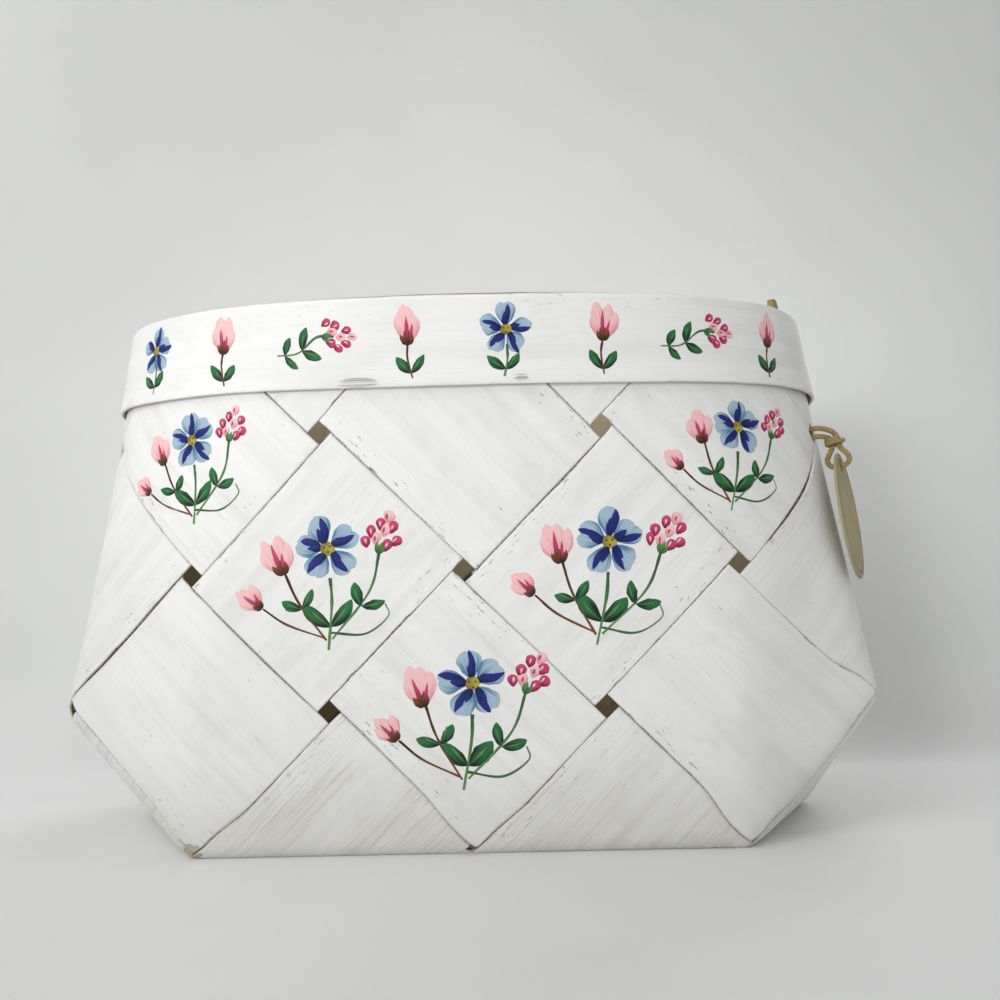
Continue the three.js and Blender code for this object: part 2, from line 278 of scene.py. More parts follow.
# A mesh on its body: data holds the values that its finish reads at each point
def makePiece(name, points, faces, body, materials, data, finishOf=None, crease=50, caps=()):
    mesh = bpy.data.meshes.new(name)
    mesh.from_pydata((points * mm).tolist(), [], faces.tolist() + list(caps))
    for material in materials:
        mesh.materials.append(material)
    if finishOf is not None:
        mesh.polygons.foreach_set("material_index", finishOf.astype(np.int32))
    for key, values in data.items():
        vector = values.ndim == 2
        layer = mesh.attributes.new(key, "FLOAT_VECTOR" if vector else "FLOAT", "POINT")
        layer.data.foreach_set("vector" if vector else "value", values.astype(np.float32).ravel())
    mesh.polygons.foreach_set("use_smooth", np.ones(len(mesh.polygons), dtype=bool))
    if crease:
        mesh.set_sharp_from_angle(angle=math.radians(crease))
    mesh.update()
    piece = bpy.data.objects.new(name, mesh)
    scene.collection.objects.link(piece)
    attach(piece, body)
    return piece


# Shader helpers
def addNode(tree, kind, inputs=None, **settings):
    node = tree.nodes.new(kind)
    for key, value in settings.items():
        setattr(node, key, value)
    for key, value in (inputs or {}).items():
        if isinstance(value, bpy.types.NodeSocket):
            tree.links.new(value, node.inputs[key])
        else:
            node.inputs[key].default_value = value
    return node


def calc(tree, operation, a, b=0.0, clamp=False):
    return addNode(tree, "ShaderNodeMath", {0: a, 1: b}, operation=operation, use_clamp=clamp).outputs[0]


def plus(tree, a, b):
    return calc(tree, "ADD", a, b)


def times(tree, a, b, clamp=False):
    return calc(tree, "MULTIPLY", a, b, clamp)


# A noise brought to both sides of nought
def swing(tree, noise, amount):
    return times(tree, calc(tree, "SUBTRACT", noise, 0.5), amount)


def mixValue(tree, factor, a, b):
    return addNode(tree, "ShaderNodeMix", {0: factor, 2: a, 3: b}, data_type="FLOAT").outputs[0]


def blendColour(tree, factor, a, b):
    return addNode(tree, "ShaderNodeMix", {0: factor, 6: a, 7: b}, data_type="RGBA").outputs[2]


# Coats of colour, each laid over the ones before it by its own mask
def coats(tree, colour, *layers):
    for mask, over in layers:
        colour = blendColour(tree, mask, colour, over)
    return colour


def between(tree, value, low, high, out=(0.0, 1.0)):
    inputs = {"Value": value, "From Min": low, "From Max": high, "To Min": out[0], "To Max": out[1]}
    return addNode(tree, "ShaderNodeMapRange", inputs, interpolation_type="SMOOTHSTEP").outputs[0]


def stretchedNoise(tree, vector, stretch, detail=3.0, roughness=0.55):
    scaled = addNode(tree, "ShaderNodeVectorMath", {0: vector, 1: stretch}, operation="MULTIPLY").outputs[0]
    inputs = {"Vector": scaled, "Scale": 1.0, "Detail": detail, "Roughness": roughness}
    return addNode(tree, "ShaderNodeTexNoise", inputs).outputs["Fac"]


def surfaceData(tree, name, output="Fac"):
    return addNode(tree, "ShaderNodeAttribute", attribute_name=name).outputs[output]


def newGroup(name, inputs, outputs):
    group = bpy.data.node_groups.new(name, "ShaderNodeTree")
    for label, value in inputs.items():
        kind = "NodeSocketVector" if value is None else "NodeSocketFloat"
        socket = group.interface.new_socket(label, in_out="INPUT", socket_type=kind)
        if value is not None:
            socket.default_value = value
    for label in outputs:
        group.interface.new_socket(label, in_out="OUTPUT", socket_type="NodeSocketFloat")
    return group, group.nodes.new("NodeGroupInput").outputs, group.nodes.new("NodeGroupOutput").inputs


def useGroup(tree, group, inputs):
    return addNode(tree, "ShaderNodeGroup", inputs, node_tree=group).outputs


grainSet = {
    # lines, threads, ridges, patch, fine fibres and tone: scale along and across, detail, roughness
    "noises": (
        (0.02, 0.8, 4.0, 0.62), (0.05, 2.4, 4.0, 0.66), (0.012, 1.3, 3.0, 0.55),
        (0.011, 0.05, 2.0, 0.55), (0.05, 3.0, 3.0, 0.65), (0.004, 0.2, 2.0, 0.55),
    ),
}


# Wood grain in strip space: x along the strip, y across it, z its own number, in millimetres
def makeWoodGrain():
    labels = ["Streaks", "Fibres", "Ridges", "Tone"]
    group, given, out = newGroup("woodGrain", {"Strip": None, "More": 0.0}, labels)
    strip = given["Strip"]
    lines, threads, ridges, patch, fine, tone = (
        stretchedNoise(group, strip, (along, across, 1.0), detail, rough)
        for along, across, detail, rough in grainSet["noises"])
    wide = between(group, plus(group, lines, given["More"]), 0.58, 0.66, (0.0, 0.6))
    thin = between(group, plus(group, threads, given["More"]), 0.57, 0.63)
    where = between(group, plus(group, patch, given["More"]), 0.36, 0.6)
    streaks = times(group, calc(group, "MAXIMUM", wide, thin), where)
    for value, label in zip((streaks, fine, ridges, tone), labels):
        group.links.new(value, out[label])
    return group


# Rubbed and torn edges: Edge is the distance to the strip's edge in millimetres
def makeEdgeWear():
    inputs = {"Strip": None, "Edge": 1.0, "Width": 0.6, "Amount": 0.5}
    group, given, out = newGroup("edgeWear", inputs, ["Mask"])
    strip = given["Strip"]
    ragged = stretchedNoise(group, strip, (0.11, 0.5, 1.0), 4.0, 0.7)
    patchy = between(group, stretchedNoise(group, strip, (0.03, 0.02, 1.0), 2.0), 0.35, 0.65)
    reach = times(group, given["Width"], times(group, ragged, 2.0))
    closeness = calc(group, "SUBTRACT", 1.0, calc(group, "DIVIDE", given["Edge"], reach), clamp=True)
    strength = times(group, given["Amount"], mixValue(group, patchy, 0.45, 1.0))
    group.links.new(times(group, closeness, strength, clamp=True), out["Mask"])
    return group


# Sparse dark scrapes where the brush missed the wood, and knocks
def makeScrapes():
    group, given, out = newGroup("scrapes", {"Strip": None, "Edge": 5.0, "Amount": 0.6}, ["Mask"])
    strip = given["Strip"]
    marks = stretchedNoise(group, strip, (0.26, 1.3, 1.0), 4.0, 0.72)
    patch = stretchedNoise(group, strip, (0.03, 0.06, 3.0), 2.0)
    near = between(group, given["Edge"], 0.0, 8.0, (0.065, 0.0))
    missed = between(group, plus(group, marks, near), 0.65, 0.71)
    missed = times(group, missed, between(group, patch, 0.45, 0.58))
    ticks = stretchedNoise(group, strip, (0.42, 0.6, 5.0), 5.0, 0.76)
    knocks = times(group, between(group, ticks, 0.68, 0.72), between(group, patch, 0.4, 0.55, (0.0, 0.8)))
    either = calc(group, "MAXIMUM", missed, knocks)
    group.links.new(times(group, either, given["Amount"], clamp=True), out["Mask"])
    return group


woodGrain = makeWoodGrain()
edgeWear = makeEdgeWear()
scrapes = makeScrapes()


def newMaterial(name):
    material = bpy.data.materials.new(name)
    material.use_nodes = True
    tree = material.node_tree
    return material, tree, tree.nodes["Principled BSDF"]


# Colour, roughness from its fibres, and bump, which every finish of the basket has
def feedShader(tree, shader, colour, fibres, roughness, height, bump, depth=0.0002):
    rough = between(tree, fibres, 0.3, 0.7, roughness)
    dented = addNode(tree, "ShaderNodeBump", {"Strength": bump, "Distance": depth, "Height": height})
    for value, socket in ((colour, "Base Color"), (rough, "Roughness"), (dented.outputs[0], "Normal")):
        tree.links.new(value, shader.inputs[socket])


paintSet = {
    # the thin colour serves thin paint and also the painted shade at the foot
    "white": (0.83, 0.828, 0.812, 1), "thin": (0.50, 0.485, 0.445, 1), "bare": (0.22, 0.165, 0.115, 1),
    # the dark colour beside the next splint's edge lays dirt and painted shade together
    "scrape": (0.085, 0.075, 0.065, 1), "dirtAndShade": (0.17, 0.15, 0.13, 1), "rubbed": (0.50, 0.425, 0.33, 1),
    "streaks": (0.26, 0.8), "lowPaintedShade": 0.1, "lowGrain": 0.03, "footDarkening": 0.3, "edgeWidth": 0.3,
    "edgeAmount": 0.4, "crevice": 0.35, "scrapes": 0.8, "roughness": (0.5, 0.68), "bump": 0.3,
}
rawWoodSet = {
    "pale": (0.40, 0.33, 0.225, 1), "dark": (0.23, 0.18, 0.115, 1), "edge": (0.13, 0.09, 0.05, 1),
    "roughness": (0.62, 0.8), "bump": 0.3,
}


def paintedWood(name, settings):
    material, tree, shader = newMaterial(name)
    strip, edge = surfaceData(tree, "strip", "Vector"), surfaceData(tree, "edge")
    low, crevice, footDarkening = surfaceData(tree, "low"), surfaceData(tree, "crevice"), surfaceData(tree, "footDarkening")
    rubbed = surfaceData(tree, "rubbed")
    grain = useGroup(tree, woodGrain, {"Strip": strip, "More": times(tree, low, settings["lowGrain"])})
    worn = useGroup(tree, edgeWear, {
        "Strip": strip, "Edge": edge, "Width": settings["edgeWidth"], "Amount": settings["edgeAmount"],
    })["Mask"]
    scraped = useGroup(tree, scrapes, {"Strip": strip, "Edge": edge, "Amount": settings["scrapes"]})["Mask"]

    # thin and handled paint, painted shade at the foot, and a darkening towards the bottom
    thinness = times(tree, grain["Streaks"], mixValue(tree, low, *settings["streaks"]))
    broad = between(tree, grain["Tone"], 0.35, 0.68, (0.0, 0.14))
    # painted shade: the foot of the front and back is darker and the ends paler, and all of it darkens
    # towards the bottom
    footShading = plus(tree, times(tree, low, settings["lowPaintedShade"]), times(tree, footDarkening, settings["footDarkening"]))
    cloud = stretchedNoise(tree, strip, (0.05, 0.09, 1.0), 4.0, 0.62)
    handled = between(tree, cloud, 0.45, 0.7, (0.0, 0.16))
    fadedAndShaded = plus(tree, plus(tree, broad, handled), footShading)

    # dirt and painted shade beside the next splint's edge, where it dives under: a thin dark line and a
    # soft grey smudge
    uneven = plus(tree, crevice, swing(tree, grain["Fibres"], 1.0))
    drifted = plus(tree, crevice, times(tree, grain["Tone"], 9.0))
    softDirtAndShade = between(tree, drifted, 3.0, 6.0, (0.09, 0.0))
    lineStrength = between(tree, grain["Ridges"], 0.4, 0.62, (0.2, 0.8))
    packedDirtAndShade = times(tree, between(tree, uneven, 0.0, settings["crevice"], (1.0, 0.0)), lineStrength)
    dirtAndShadeMask = calc(tree, "MAXIMUM", packedDirtAndShade, softDirtAndShade)

    # wood that shows where the paint is rubbed off
    torn = stretchedNoise(tree, strip, (0.22, 1.0, 1.0), 4.0, 0.7)
    ragged = plus(tree, rubbed, swing(tree, torn, 1.8))
    fibrous = between(tree, grain["Fibres"], 0.4, 0.65, (0.0, 0.5))
    wood = blendColour(tree, fibrous, settings["rubbed"], settings["bare"])

    colour = coats(
        tree, settings["white"], (fadedAndShaded, settings["thin"]), (thinness, settings["thin"]),
        (dirtAndShadeMask, settings["dirtAndShade"]), (worn, settings["bare"]), (between(tree, ragged, 0.48, 0.58), wood),
        (scraped, settings["scrape"]))
    dents = plus(tree, plus(tree, grain["Fibres"], grain["Ridges"]), times(tree, scraped, -0.8))
    feedShader(tree, shader, colour, grain["Fibres"], settings["roughness"], dents, settings["bump"])
    return material


def rawWood(name, settings):
    material, tree, shader = newMaterial(name)
    strip, edge = surfaceData(tree, "strip", "Vector"), surfaceData(tree, "edge")
    grain = useGroup(tree, woodGrain, {"Strip": strip})
    worn = useGroup(tree, edgeWear, {"Strip": strip, "Edge": edge, "Width": 0.9, "Amount": 0.6})["Mask"]
    lines = plus(tree, times(tree, grain["Streaks"], 0.5), times(tree, grain["Fibres"], 0.5))
    grained = between(tree, lines, 0.15, 0.8)
    colour = coats(tree, settings["pale"], (grained, settings["dark"]), (worn, settings["edge"]))
    fibres = grain["Fibres"]
    feedShader(tree, shader, colour, fibres, settings["roughness"], fibres, settings["bump"])
    return material


splintPaint = paintedWood("splintPaint", paintSet)
bandPaintSet = {**paintSet, "streaks": (0.15, 0.15), "scrapes": 0.3, "edgeAmount": 0.25, "bump": 0.12}
bandPaint = paintedWood("bandPaint", bandPaintSet)
rawSplint = rawWood("rawSplint", rawWoodSet)
print("wood finishes ready")

# Twine first: through the weave hole, a loop through the eyelet, and back. Hole axes: x out, z up.
twineSet = {
    "hole": (96.5628, -35.0004, 108.8131),
    "out": (0.87711, -0.45477, 0.15446), "level": (0.46030, 0.88777, 0.0),
    "up": (-0.13713, 0.07110, 0.98800),
    "diameter": 1.5, "steps": 320, "around": 18, "plies": 3, "twist": 3.6, "groove": 0.13, "aside": 4.5,
    "route": [  # out, share of aside, up
        (-1.35, 0, 1.15), (0, 0, 1.15), (2.25, 0.06, 1.05), (4.2, 0.4, 0.55), (5.9, 0.8, -0.6),
        (6.57, 1, -2.4), (6.57, 1, -4.6), (7.9, 1, -6.6), (8.6, 1, -8.0), (8.1, 1, -9.6),
        (5.6, 1, -10.7), (3.1, 1, -9.6), (2.6, 1, -8.0), (3.3, 1, -6.6), (4.63, 1, -4.6),
        (4.63, 1, -2.6), (4.1, 0.72, -1.75), (2.25, 0.12, -1.25), (0, 0, -1.15), (-1.35, 0, -1.15),
    ],
    "wrap": (5.6, -3.15), "wrapTurns": 1.8, "wrapRadius": 2.3, "wrapPitch": 0.95, "wrapCord": 1.35,
    "wrapSteps": 170, "wrapFlat": 0.85,
    "stopKnot": -4.0, "stopRadius": 2.2, "stopCord": 1.5, "stopSteps": 260,
    "fibreDark": (0.24, 0.16, 0.06, 1), "fibrePale": (0.52, 0.39, 0.17, 1), "blotch": (0.42, 0.29, 0.10, 1),
    # painted shade: the dark laid in the grooves between the plies
    "between": (0.10, 0.065, 0.03, 1),
}
holePoint = np.array(twineSet["hole"])
holeAxes = np.array([twineSet["out"], twineSet["level"], twineSet["up"]])


def fromHole(local):
    return holePoint + np.asarray(local, float) @ holeAxes


def smoothPath(points, count):
    points = np.asarray(points, float)
    padded = np.concatenate([[2 * points[0] - points[1]], points, [2 * points[-1] - points[-2]]])
    spans = len(padded) - 3
    place = np.linspace(0, spans, count)
    k = np.minimum(place.astype(int), spans - 1)
    t = (place - k)[:, None]
    a, b, c, d = (padded[k + n] for n in range(4))
    bend, twist = 2 * a - 5 * b + 4 * c - d, 3 * b - a - 3 * c + d
    return 0.5 * (2 * b + (c - a) * t + bend * t ** 2 + twist * t ** 3)


def runAlong(points):
    return np.concatenate([[0], np.cumsum(np.linalg.norm(np.diff(points, axis=0), axis=1))])


def evenPath(points, count):
    run = runAlong(points)
    even = np.linspace(0, run[-1], count)
    return np.stack([np.interp(even, run, points[:, k]) for k in range(3)], axis=1), even


# A laid cord: its section has one lobe for each ply and turns as it goes
def laidCord(name, node, path, run, diameter, closed=False):
    settings = twineSet
    ahead = np.roll(path, -1, 0) - np.roll(path, 1, 0) if closed else np.gradient(path, axis=0)
    tangent = unit(ahead)
    sideways = np.zeros_like(path)
    guide = np.cross(tangent[0], (0.3, 0.9, 0.2))
    for k in range(len(path)):
        guide = guide - tangent[k] * np.dot(guide, tangent[k])
        guide = guide / np.linalg.norm(guide)
        sideways[k] = guide
    upward = np.cross(tangent, sideways)
    angle = np.linspace(0, 2 * np.pi, settings["around"], endpoint=False)
    turns = np.round(run[-1] / settings["twist"]) if closed else run[-1] / settings["twist"]
    phase = 2 * np.pi * turns * run / run[-1]
    lobes = np.abs(np.cos(0.5 * settings["plies"] * (angle[None, :] - phase[:, None])))
    radius = diameter / 2 * (1 - settings["groove"] + settings["groove"] * lobes ** 0.7)
    points = path[:, None] + radius[..., None] * (
        np.cos(angle)[None, :, None] * sideways[:, None] + np.sin(angle)[None, :, None] * upward[:, None])
    rows, columns = len(path), settings["around"]
    quads = ringQuads(rows, columns, closed)
    ring = list(range(columns))
    caps = [] if closed else [ring[::-1], [k + (rows - 1) * columns for k in ring]]
    around = np.tile(angle * diameter / 2, rows)
    data = {"ply": lobes.ravel(), "lay": np.stack([np.repeat(run, columns), around, lobes.ravel()], axis=1)}
    piece = makePiece(name, points.reshape(-1, 3), quads, "basket", [jute], data, None, None, caps)
    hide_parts(node)
    return piece


def juteTwine(name, settings):
    material, tree, shader = newMaterial(name)
    lay, ply = surfaceData(tree, "lay", "Vector"), surfaceData(tree, "ply")
    fibres = stretchedNoise(tree, lay, (1.6, 7.0, 1.0), 4.0, 0.7)
    blotch = stretchedNoise(tree, lay, (0.25, 0.3, 0.5), 2.0)
    colour = coats(
        tree, settings["fibreDark"],
        (between(tree, fibres, 0.3, 0.7), settings["fibrePale"]),
        (between(tree, blotch, 0.35, 0.7, (0.0, 0.4)), settings["blotch"]),
        # painted shade in the grooves between the plies
        (between(tree, ply, 0.0, 0.55, (0.75, 0.0)), settings["between"]))
    feedShader(tree, shader, colour, fibres, (0.95, 0.8), fibres, 0.6, 0.00015)
    return material


jute = juteTwine("jute", twineSet)


def makeTwine():
    settings = twineSet
    route = [(x, share * settings["aside"], z) for x, share, z in settings["route"]]
    path, run = evenPath(smoothPath(route, 900), settings["steps"])
    path = fromHole(path)
    twine = laidCord("tag_twine_laid", "tag_twine", path, run, settings["diameter"])

    # the knot above the tag: both strands wrapped round, the ends drawn in
    x, z = settings["wrap"]
    turn = np.linspace(0, settings["wrapTurns"], 200)
    rise = (turn - settings["wrapTurns"] / 2) * settings["wrapPitch"]
    drawn = 1 - 0.25 * smooth(np.abs(turn / settings["wrapTurns"] - 0.5) * 2) ** 3
    angle = 2 * np.pi * turn + 0.7
    reach = settings["wrapRadius"] * drawn
    level = settings["aside"] + reach * settings["wrapFlat"] * np.sin(angle)
    helix = np.stack([x + reach * np.cos(angle), level, z + rise], axis=1)
    helix, wrapRun = evenPath(helix, settings["wrapSteps"])
    wrap = laidCord("twine_knot_wrapped", "twine_knot", fromHole(helix), wrapRun, settings["wrapCord"])

    # the stop knot inside the basket, a trefoil
    turn = np.linspace(0, 2 * np.pi, settings["stopSteps"], endpoint=False)
    ring = settings["stopRadius"] * (2 + np.cos(3 * turn)) / 2
    out = settings["stopKnot"] + settings["stopRadius"] / 2 * np.sin(3 * turn)
    trefoil = np.stack([out, ring * np.cos(2 * turn), ring * np.sin(2 * turn)], axis=1)
    stopRun, stopCord = runAlong(trefoil), settings["stopCord"]
    stop = laidCord("stop_knot_tied", "stop_knot", fromHole(trefoil), stopRun, stopCord, closed=True)
    return twine, wrap, stop, path, run[-1]


twine, twineWrap, stopKnot, twinePath, twineLength = makeTwine()
print("twine laid, length", round(float(twineLength), 1), "mm")

# Splints
splintSet = {
    # columns, mm from an edge, and rows, mm before the next splint's edge
    "edgeSteps": (0.0, 0.1, 0.24, 0.45, 1.2, 3.0, 5.2, 7.4, 9.8, 12.4, 15.2, 17.8, 20.5, 23.2),
    "diveSteps": (-1.2, -0.45, -0.15, 0.0, 0.14, 0.28, 0.42, 0.6, 1.0, 1.4, 1.8, 2.1, 2.4, 2.7, 3.3),
    "alongStep": 1.7, "edgeRound": 0.4, "dive": 0.75, "tuck": 0.2, "swell": 0.05,
    "wave": 0.2, "rough": 0.09, "waveRun": 23.0, "roughRun": 2.6, "waveReach": 2.5,
    "curl": 0.14, "curlReach": 9, "liftReach": 17, "nicks": 30, "nickDepth": 0.32, "shutReach": 14,
    "seed": 100,
    # the foot: how far up its looks go, in cell diagonals, and their share at the ends of the basket; these
    # looks are painted shade at the foot and a darkening towards the bottom
    "flatTo": 0.12, "lowTo": 0.25, "footDarkTo": 0.4, "endLow": -0.45, "endFootDark": 0.3,
    # named edges that stand off the weave: splint, cell along it, which edge, height, where along the cell
    "lifted": [
        ("left_long_splint", 4, "high", 0.85, 0.45),
        ("back_corner_splint", 3, "low", 0.8, 0.3),
    ],
    # holes that are drawn shut: round the wall, up it, how far the edges spread in mm
    "shut": [(1.5, 0.5, 2.2), (1.0, 0.0, 2.2), (-1.0, 0.0, 1.6), (0.0, 0.0, 1.2)],
    # rubbed to the wood: round the wall, up it, radius in mm
    "rubbed": [(-1.0, 0.0, 2.8), (1.0, 0.0, 0.9), (-1.5, 0.5, 1.3), (0.0, 0.0, 1.0), (3.0, 0.0, 2.2),
               (-3.0, 0.0, 1.9), (2.5, 0.5, 1.5)],
}


# How much the marked places, each with its reach in mm, act on some points
def nearPlaces(points, places, inner):
    amount = np.zeros(points.shape[:-1])
    for s, z, reach in places:
        distance = np.linalg.norm(points - wall(np.array([s]), np.array([z]))[0], axis=-1)
        amount = np.maximum(amount, inner(distance, reach))
    return amount


def drawnShut(distance, spread):
    return spread * smooth(1.4 - distance / splintSet["shutReach"])


def rubbedOff(distance, radius):
    return smooth(1.6 - distance / radius)


# How far a place along a splint is from the next splint's edge, in mm, and which crossing it belongs to
def beforeDive(rows, start):
    fromMiddle = np.mod(rows + start - 0.5, 2) - 1
    return (0.5 - np.abs(fromMiddle)) * cell + weaveSet["splintGap"] / 2, rows - fromMiddle


# Rows along a splint: even ones, and close ones where it dives
def splintRows(start, first, last):
    steps = np.array(splintSet["diveSteps"])
    even = np.linspace(first, last, int((last - first) * cell / splintSet["alongStep"]) + 1)
    fromEdge, crossing = beforeDive(even, start)
    plain = even[(fromEdge < steps[0] - 0.8) | (fromEdge > steps[-1] + 0.8)]
    reach = 0.5 + (weaveSet["splintGap"] / 2 - steps) / cell
    middles = np.unique(np.round(crossing, 6))
    close = np.concatenate([middles[:, None] - reach, middles[:, None] + reach]).ravel()
    return np.unique(np.concatenate([[first], plain, close[(close > first) & (close < last)], [last]]))


def makeSplint(name, side, start, number):
    settings = splintSet
    rng = np.random.default_rng(settings["seed"] + number)
    width, half = weaveSet["splintWidth"], weaveSet["splintThickness"] / 2
    steps = np.array(settings["edgeSteps"])
    columns = np.concatenate([steps, (width - steps[:-1])[::-1]])
    first, last = start - 4, 6 - start
    rows = splintRows(start, first, last)
    lowEdge, highEdge = columns, width - columns
    edge = np.minimum(lowEdge, highEdge)

    # wavering, nicked edges
    along = rows * cell
    waves = []
    for _ in range(2):
        wave = settings["wave"] * wander(rng, along, settings["waveRun"])
        wave = wave + settings["rough"] * wander(rng, along, settings["roughRun"])
        for place in rng.uniform(along[0], along[-1], settings["nicks"]):
            depth, reach = rng.uniform(0.3, 1.0) * settings["nickDepth"], rng.uniform(0.9, 2.6)
            wave = wave + depth * np.clip(1 - np.abs(along - place) / reach, 0, 1)
        waves.append(wave)
    for k, at in enumerate((0.0, width)):
        ends = weave(side, start + (weaveSet["splintGap"] / 2 + at) / cell + 0 * rows, rows)
        waves[k] = waves[k] - nearPlaces(ends, settings["shut"], drawnShut)
    lowShare, highShare = (np.exp(-away / settings["waveReach"])[:, None] for away in (lowEdge, highEdge))
    shift = lowShare * waves[0][None] - highShare * waves[1][None]
    u = start + ((weaveSet["splintGap"] / 2 + columns)[:, None] + shift) / cell
    v = np.broadcast_to(rows[None], u.shape)

    # outside in every other cell, and diving under the next splint's edge
    cellNumber = np.floor(rows + 1e-9).astype(int)
    within = rows - cellNumber
    outside = np.where((start + cellNumber) % 2 == 0, -1.0, 1.0)
    point = weave(side, u, v)
    fromEdge, crossing = beforeDive(rows, start)
    fromEdge = fromEdge[None] - nearPlaces(point, settings["shut"], drawnShut)
    level = 2 * smooth((fromEdge + settings["tuck"]) / settings["dive"]) - 1
    low = 1.0 * (heightUp(start + 0.5, crossing) < settings["lowTo"])  # folded at the foot
    climbing = smooth(heightUp(u, v) / settings["flatTo"])  # the base stays flat
    layer = mix(layerOffset, half, climbing)  # pressed together on the walls
    offset = layer * level + settings["swell"] * swell(u, v) * outside[None] * climbing
    for j in range(first, last):
        if (start + j) % 2 == 0:
            continue
        bump = np.where(cellNumber == j, np.sin(np.pi * within), 0)
        for distance in (lowEdge, highEdge):
            height = settings["curl"] * rng.uniform(0.1, 1.0)
            curled = np.clip(1 - distance / settings["curlReach"], 0, 1)[:, None] ** 2
            offset = offset + height * curled * bump[None] * climbing
    for who, j, which, height, peak in settings["lifted"]:
        if who == name:
            place = np.where(within < peak, within / peak, (1 - within) / (1 - peak))
            bump = np.where(cellNumber == j, smooth(np.clip(place, 0, 1)), 0)
            distance = lowEdge if which == "low" else highEdge
            raised = np.clip(1 - distance / settings["liftReach"], 0, 1)[:, None] ** 2
            offset = offset + height * raised * bump[None]

    normal = outwardNormal(lambda a, b: weave(side, a, b), u, v)
    rounded = roundedEdge(edge, settings["edgeRound"])
    skin = (half * (0.35 + 0.65 * rounded))[:, None, None] * normal
    middle = point + offset[..., None] * normal
    outer, inner = (middle + skin).reshape(-1, 3), (middle - skin).reshape(-1, 3)

    facing = smooth((np.abs(normal[..., 1]) - 0.4) / 0.3)  # 1 on the front and the back, 0 on the ends
    quads = gridQuads(*u.shape)
    height = heightUp(u, v).ravel()
    quads = quads[(height[quads] < splintTop).any(axis=1)]
    points, faces, sides, source = closedSheet(outer, inner, quads)
    # darker towards the bottom, less so on the ends
    footDarkening = 1 - smooth(height / settings["footDarkTo"])
    data = {
        **stripData(source, along[None], columns[:, None] + shift, 37.0 * number, edge[:, None]),
        "rubbed": nearPlaces(points, settings["rubbed"], rubbedOff),
        # painted shade at the foot: full on the front and back, below nought on the ends so that they come
        # out paler
        "low": (low[None] * mix(settings["endLow"], 1.0, facing)).ravel()[source],
        "crevice": np.clip(fromEdge, -3, 20).ravel()[source],
        "footDarkening": (footDarkening * mix(settings["endFootDark"], 1.0, facing.ravel()))[source],
    }
    piece = makePiece(name + "_shaved", points, faces, "basket", [splintPaint, rawSplint], data, sides == 1)
    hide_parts(name)


for side, sideName in enumerate(("front", "right", "back", "left")):
    makeSplint(f"{sideName}_corner_splint", side, 0, 2 * side)
    makeSplint(f"{sideName}_long_splint", side, -1, 2 * side + 1)
print("splints plaited")

# Rim bands
bandSet = {
    "height": 21.4, "thickness": 1.2, "clearance": 0.45, "proud": 1.2, "lap": 30.0, "lapClearance": 0.3,
    "outerLap": 241.0, "innerLap": 330.0,
    "alongStep": 1.6, "edgeSteps": (0.0, 0.14, 0.4, 1.0, 2.4, 5.0, 8.0, 10.7), "edgeRound": 0.45,
    "wave": 0.22, "waveRuns": ((41.0, 5.0), (33.0, 4.0)), "seed": 300,
    "flare": 0.15, "flareAt": 1.42, "flareMost": 0.25, "flareReach": 0.5, "flareRise": 10,
    # scuffs on the outer band: round the wall, mm above its lower edge, half length and half height in mm
    "scuffs": [(-0.343, 1.5, 6.5, 1.4), (0.22, 1.7, 3.0, 1.0)],
}
bandTop = splintTop + bandSet["proud"] / diagonal
bandBottom = bandTop - bandSet["height"] / diagonal
bandFace = weaveHalf + bandSet["clearance"] + bandSet["thickness"]


# The outer band's lower edge stands off a little, most at the corner over the tag
def bandFlare(s, rise):
    around = np.abs(roundWall(s - bandSet["flareAt"]))
    uneven = 0.5 + 0.3 * np.sin(0.75 * np.pi * s + 0.4) + 0.2 * np.sin(1.75 * np.pi * s)
    corner = bandSet["flareMost"] * smooth(1 - around / bandSet["flareReach"])
    return (corner + bandSet["flare"] * uneven) * np.clip(1 - rise / bandSet["flareRise"], 0, 1) ** 1.5


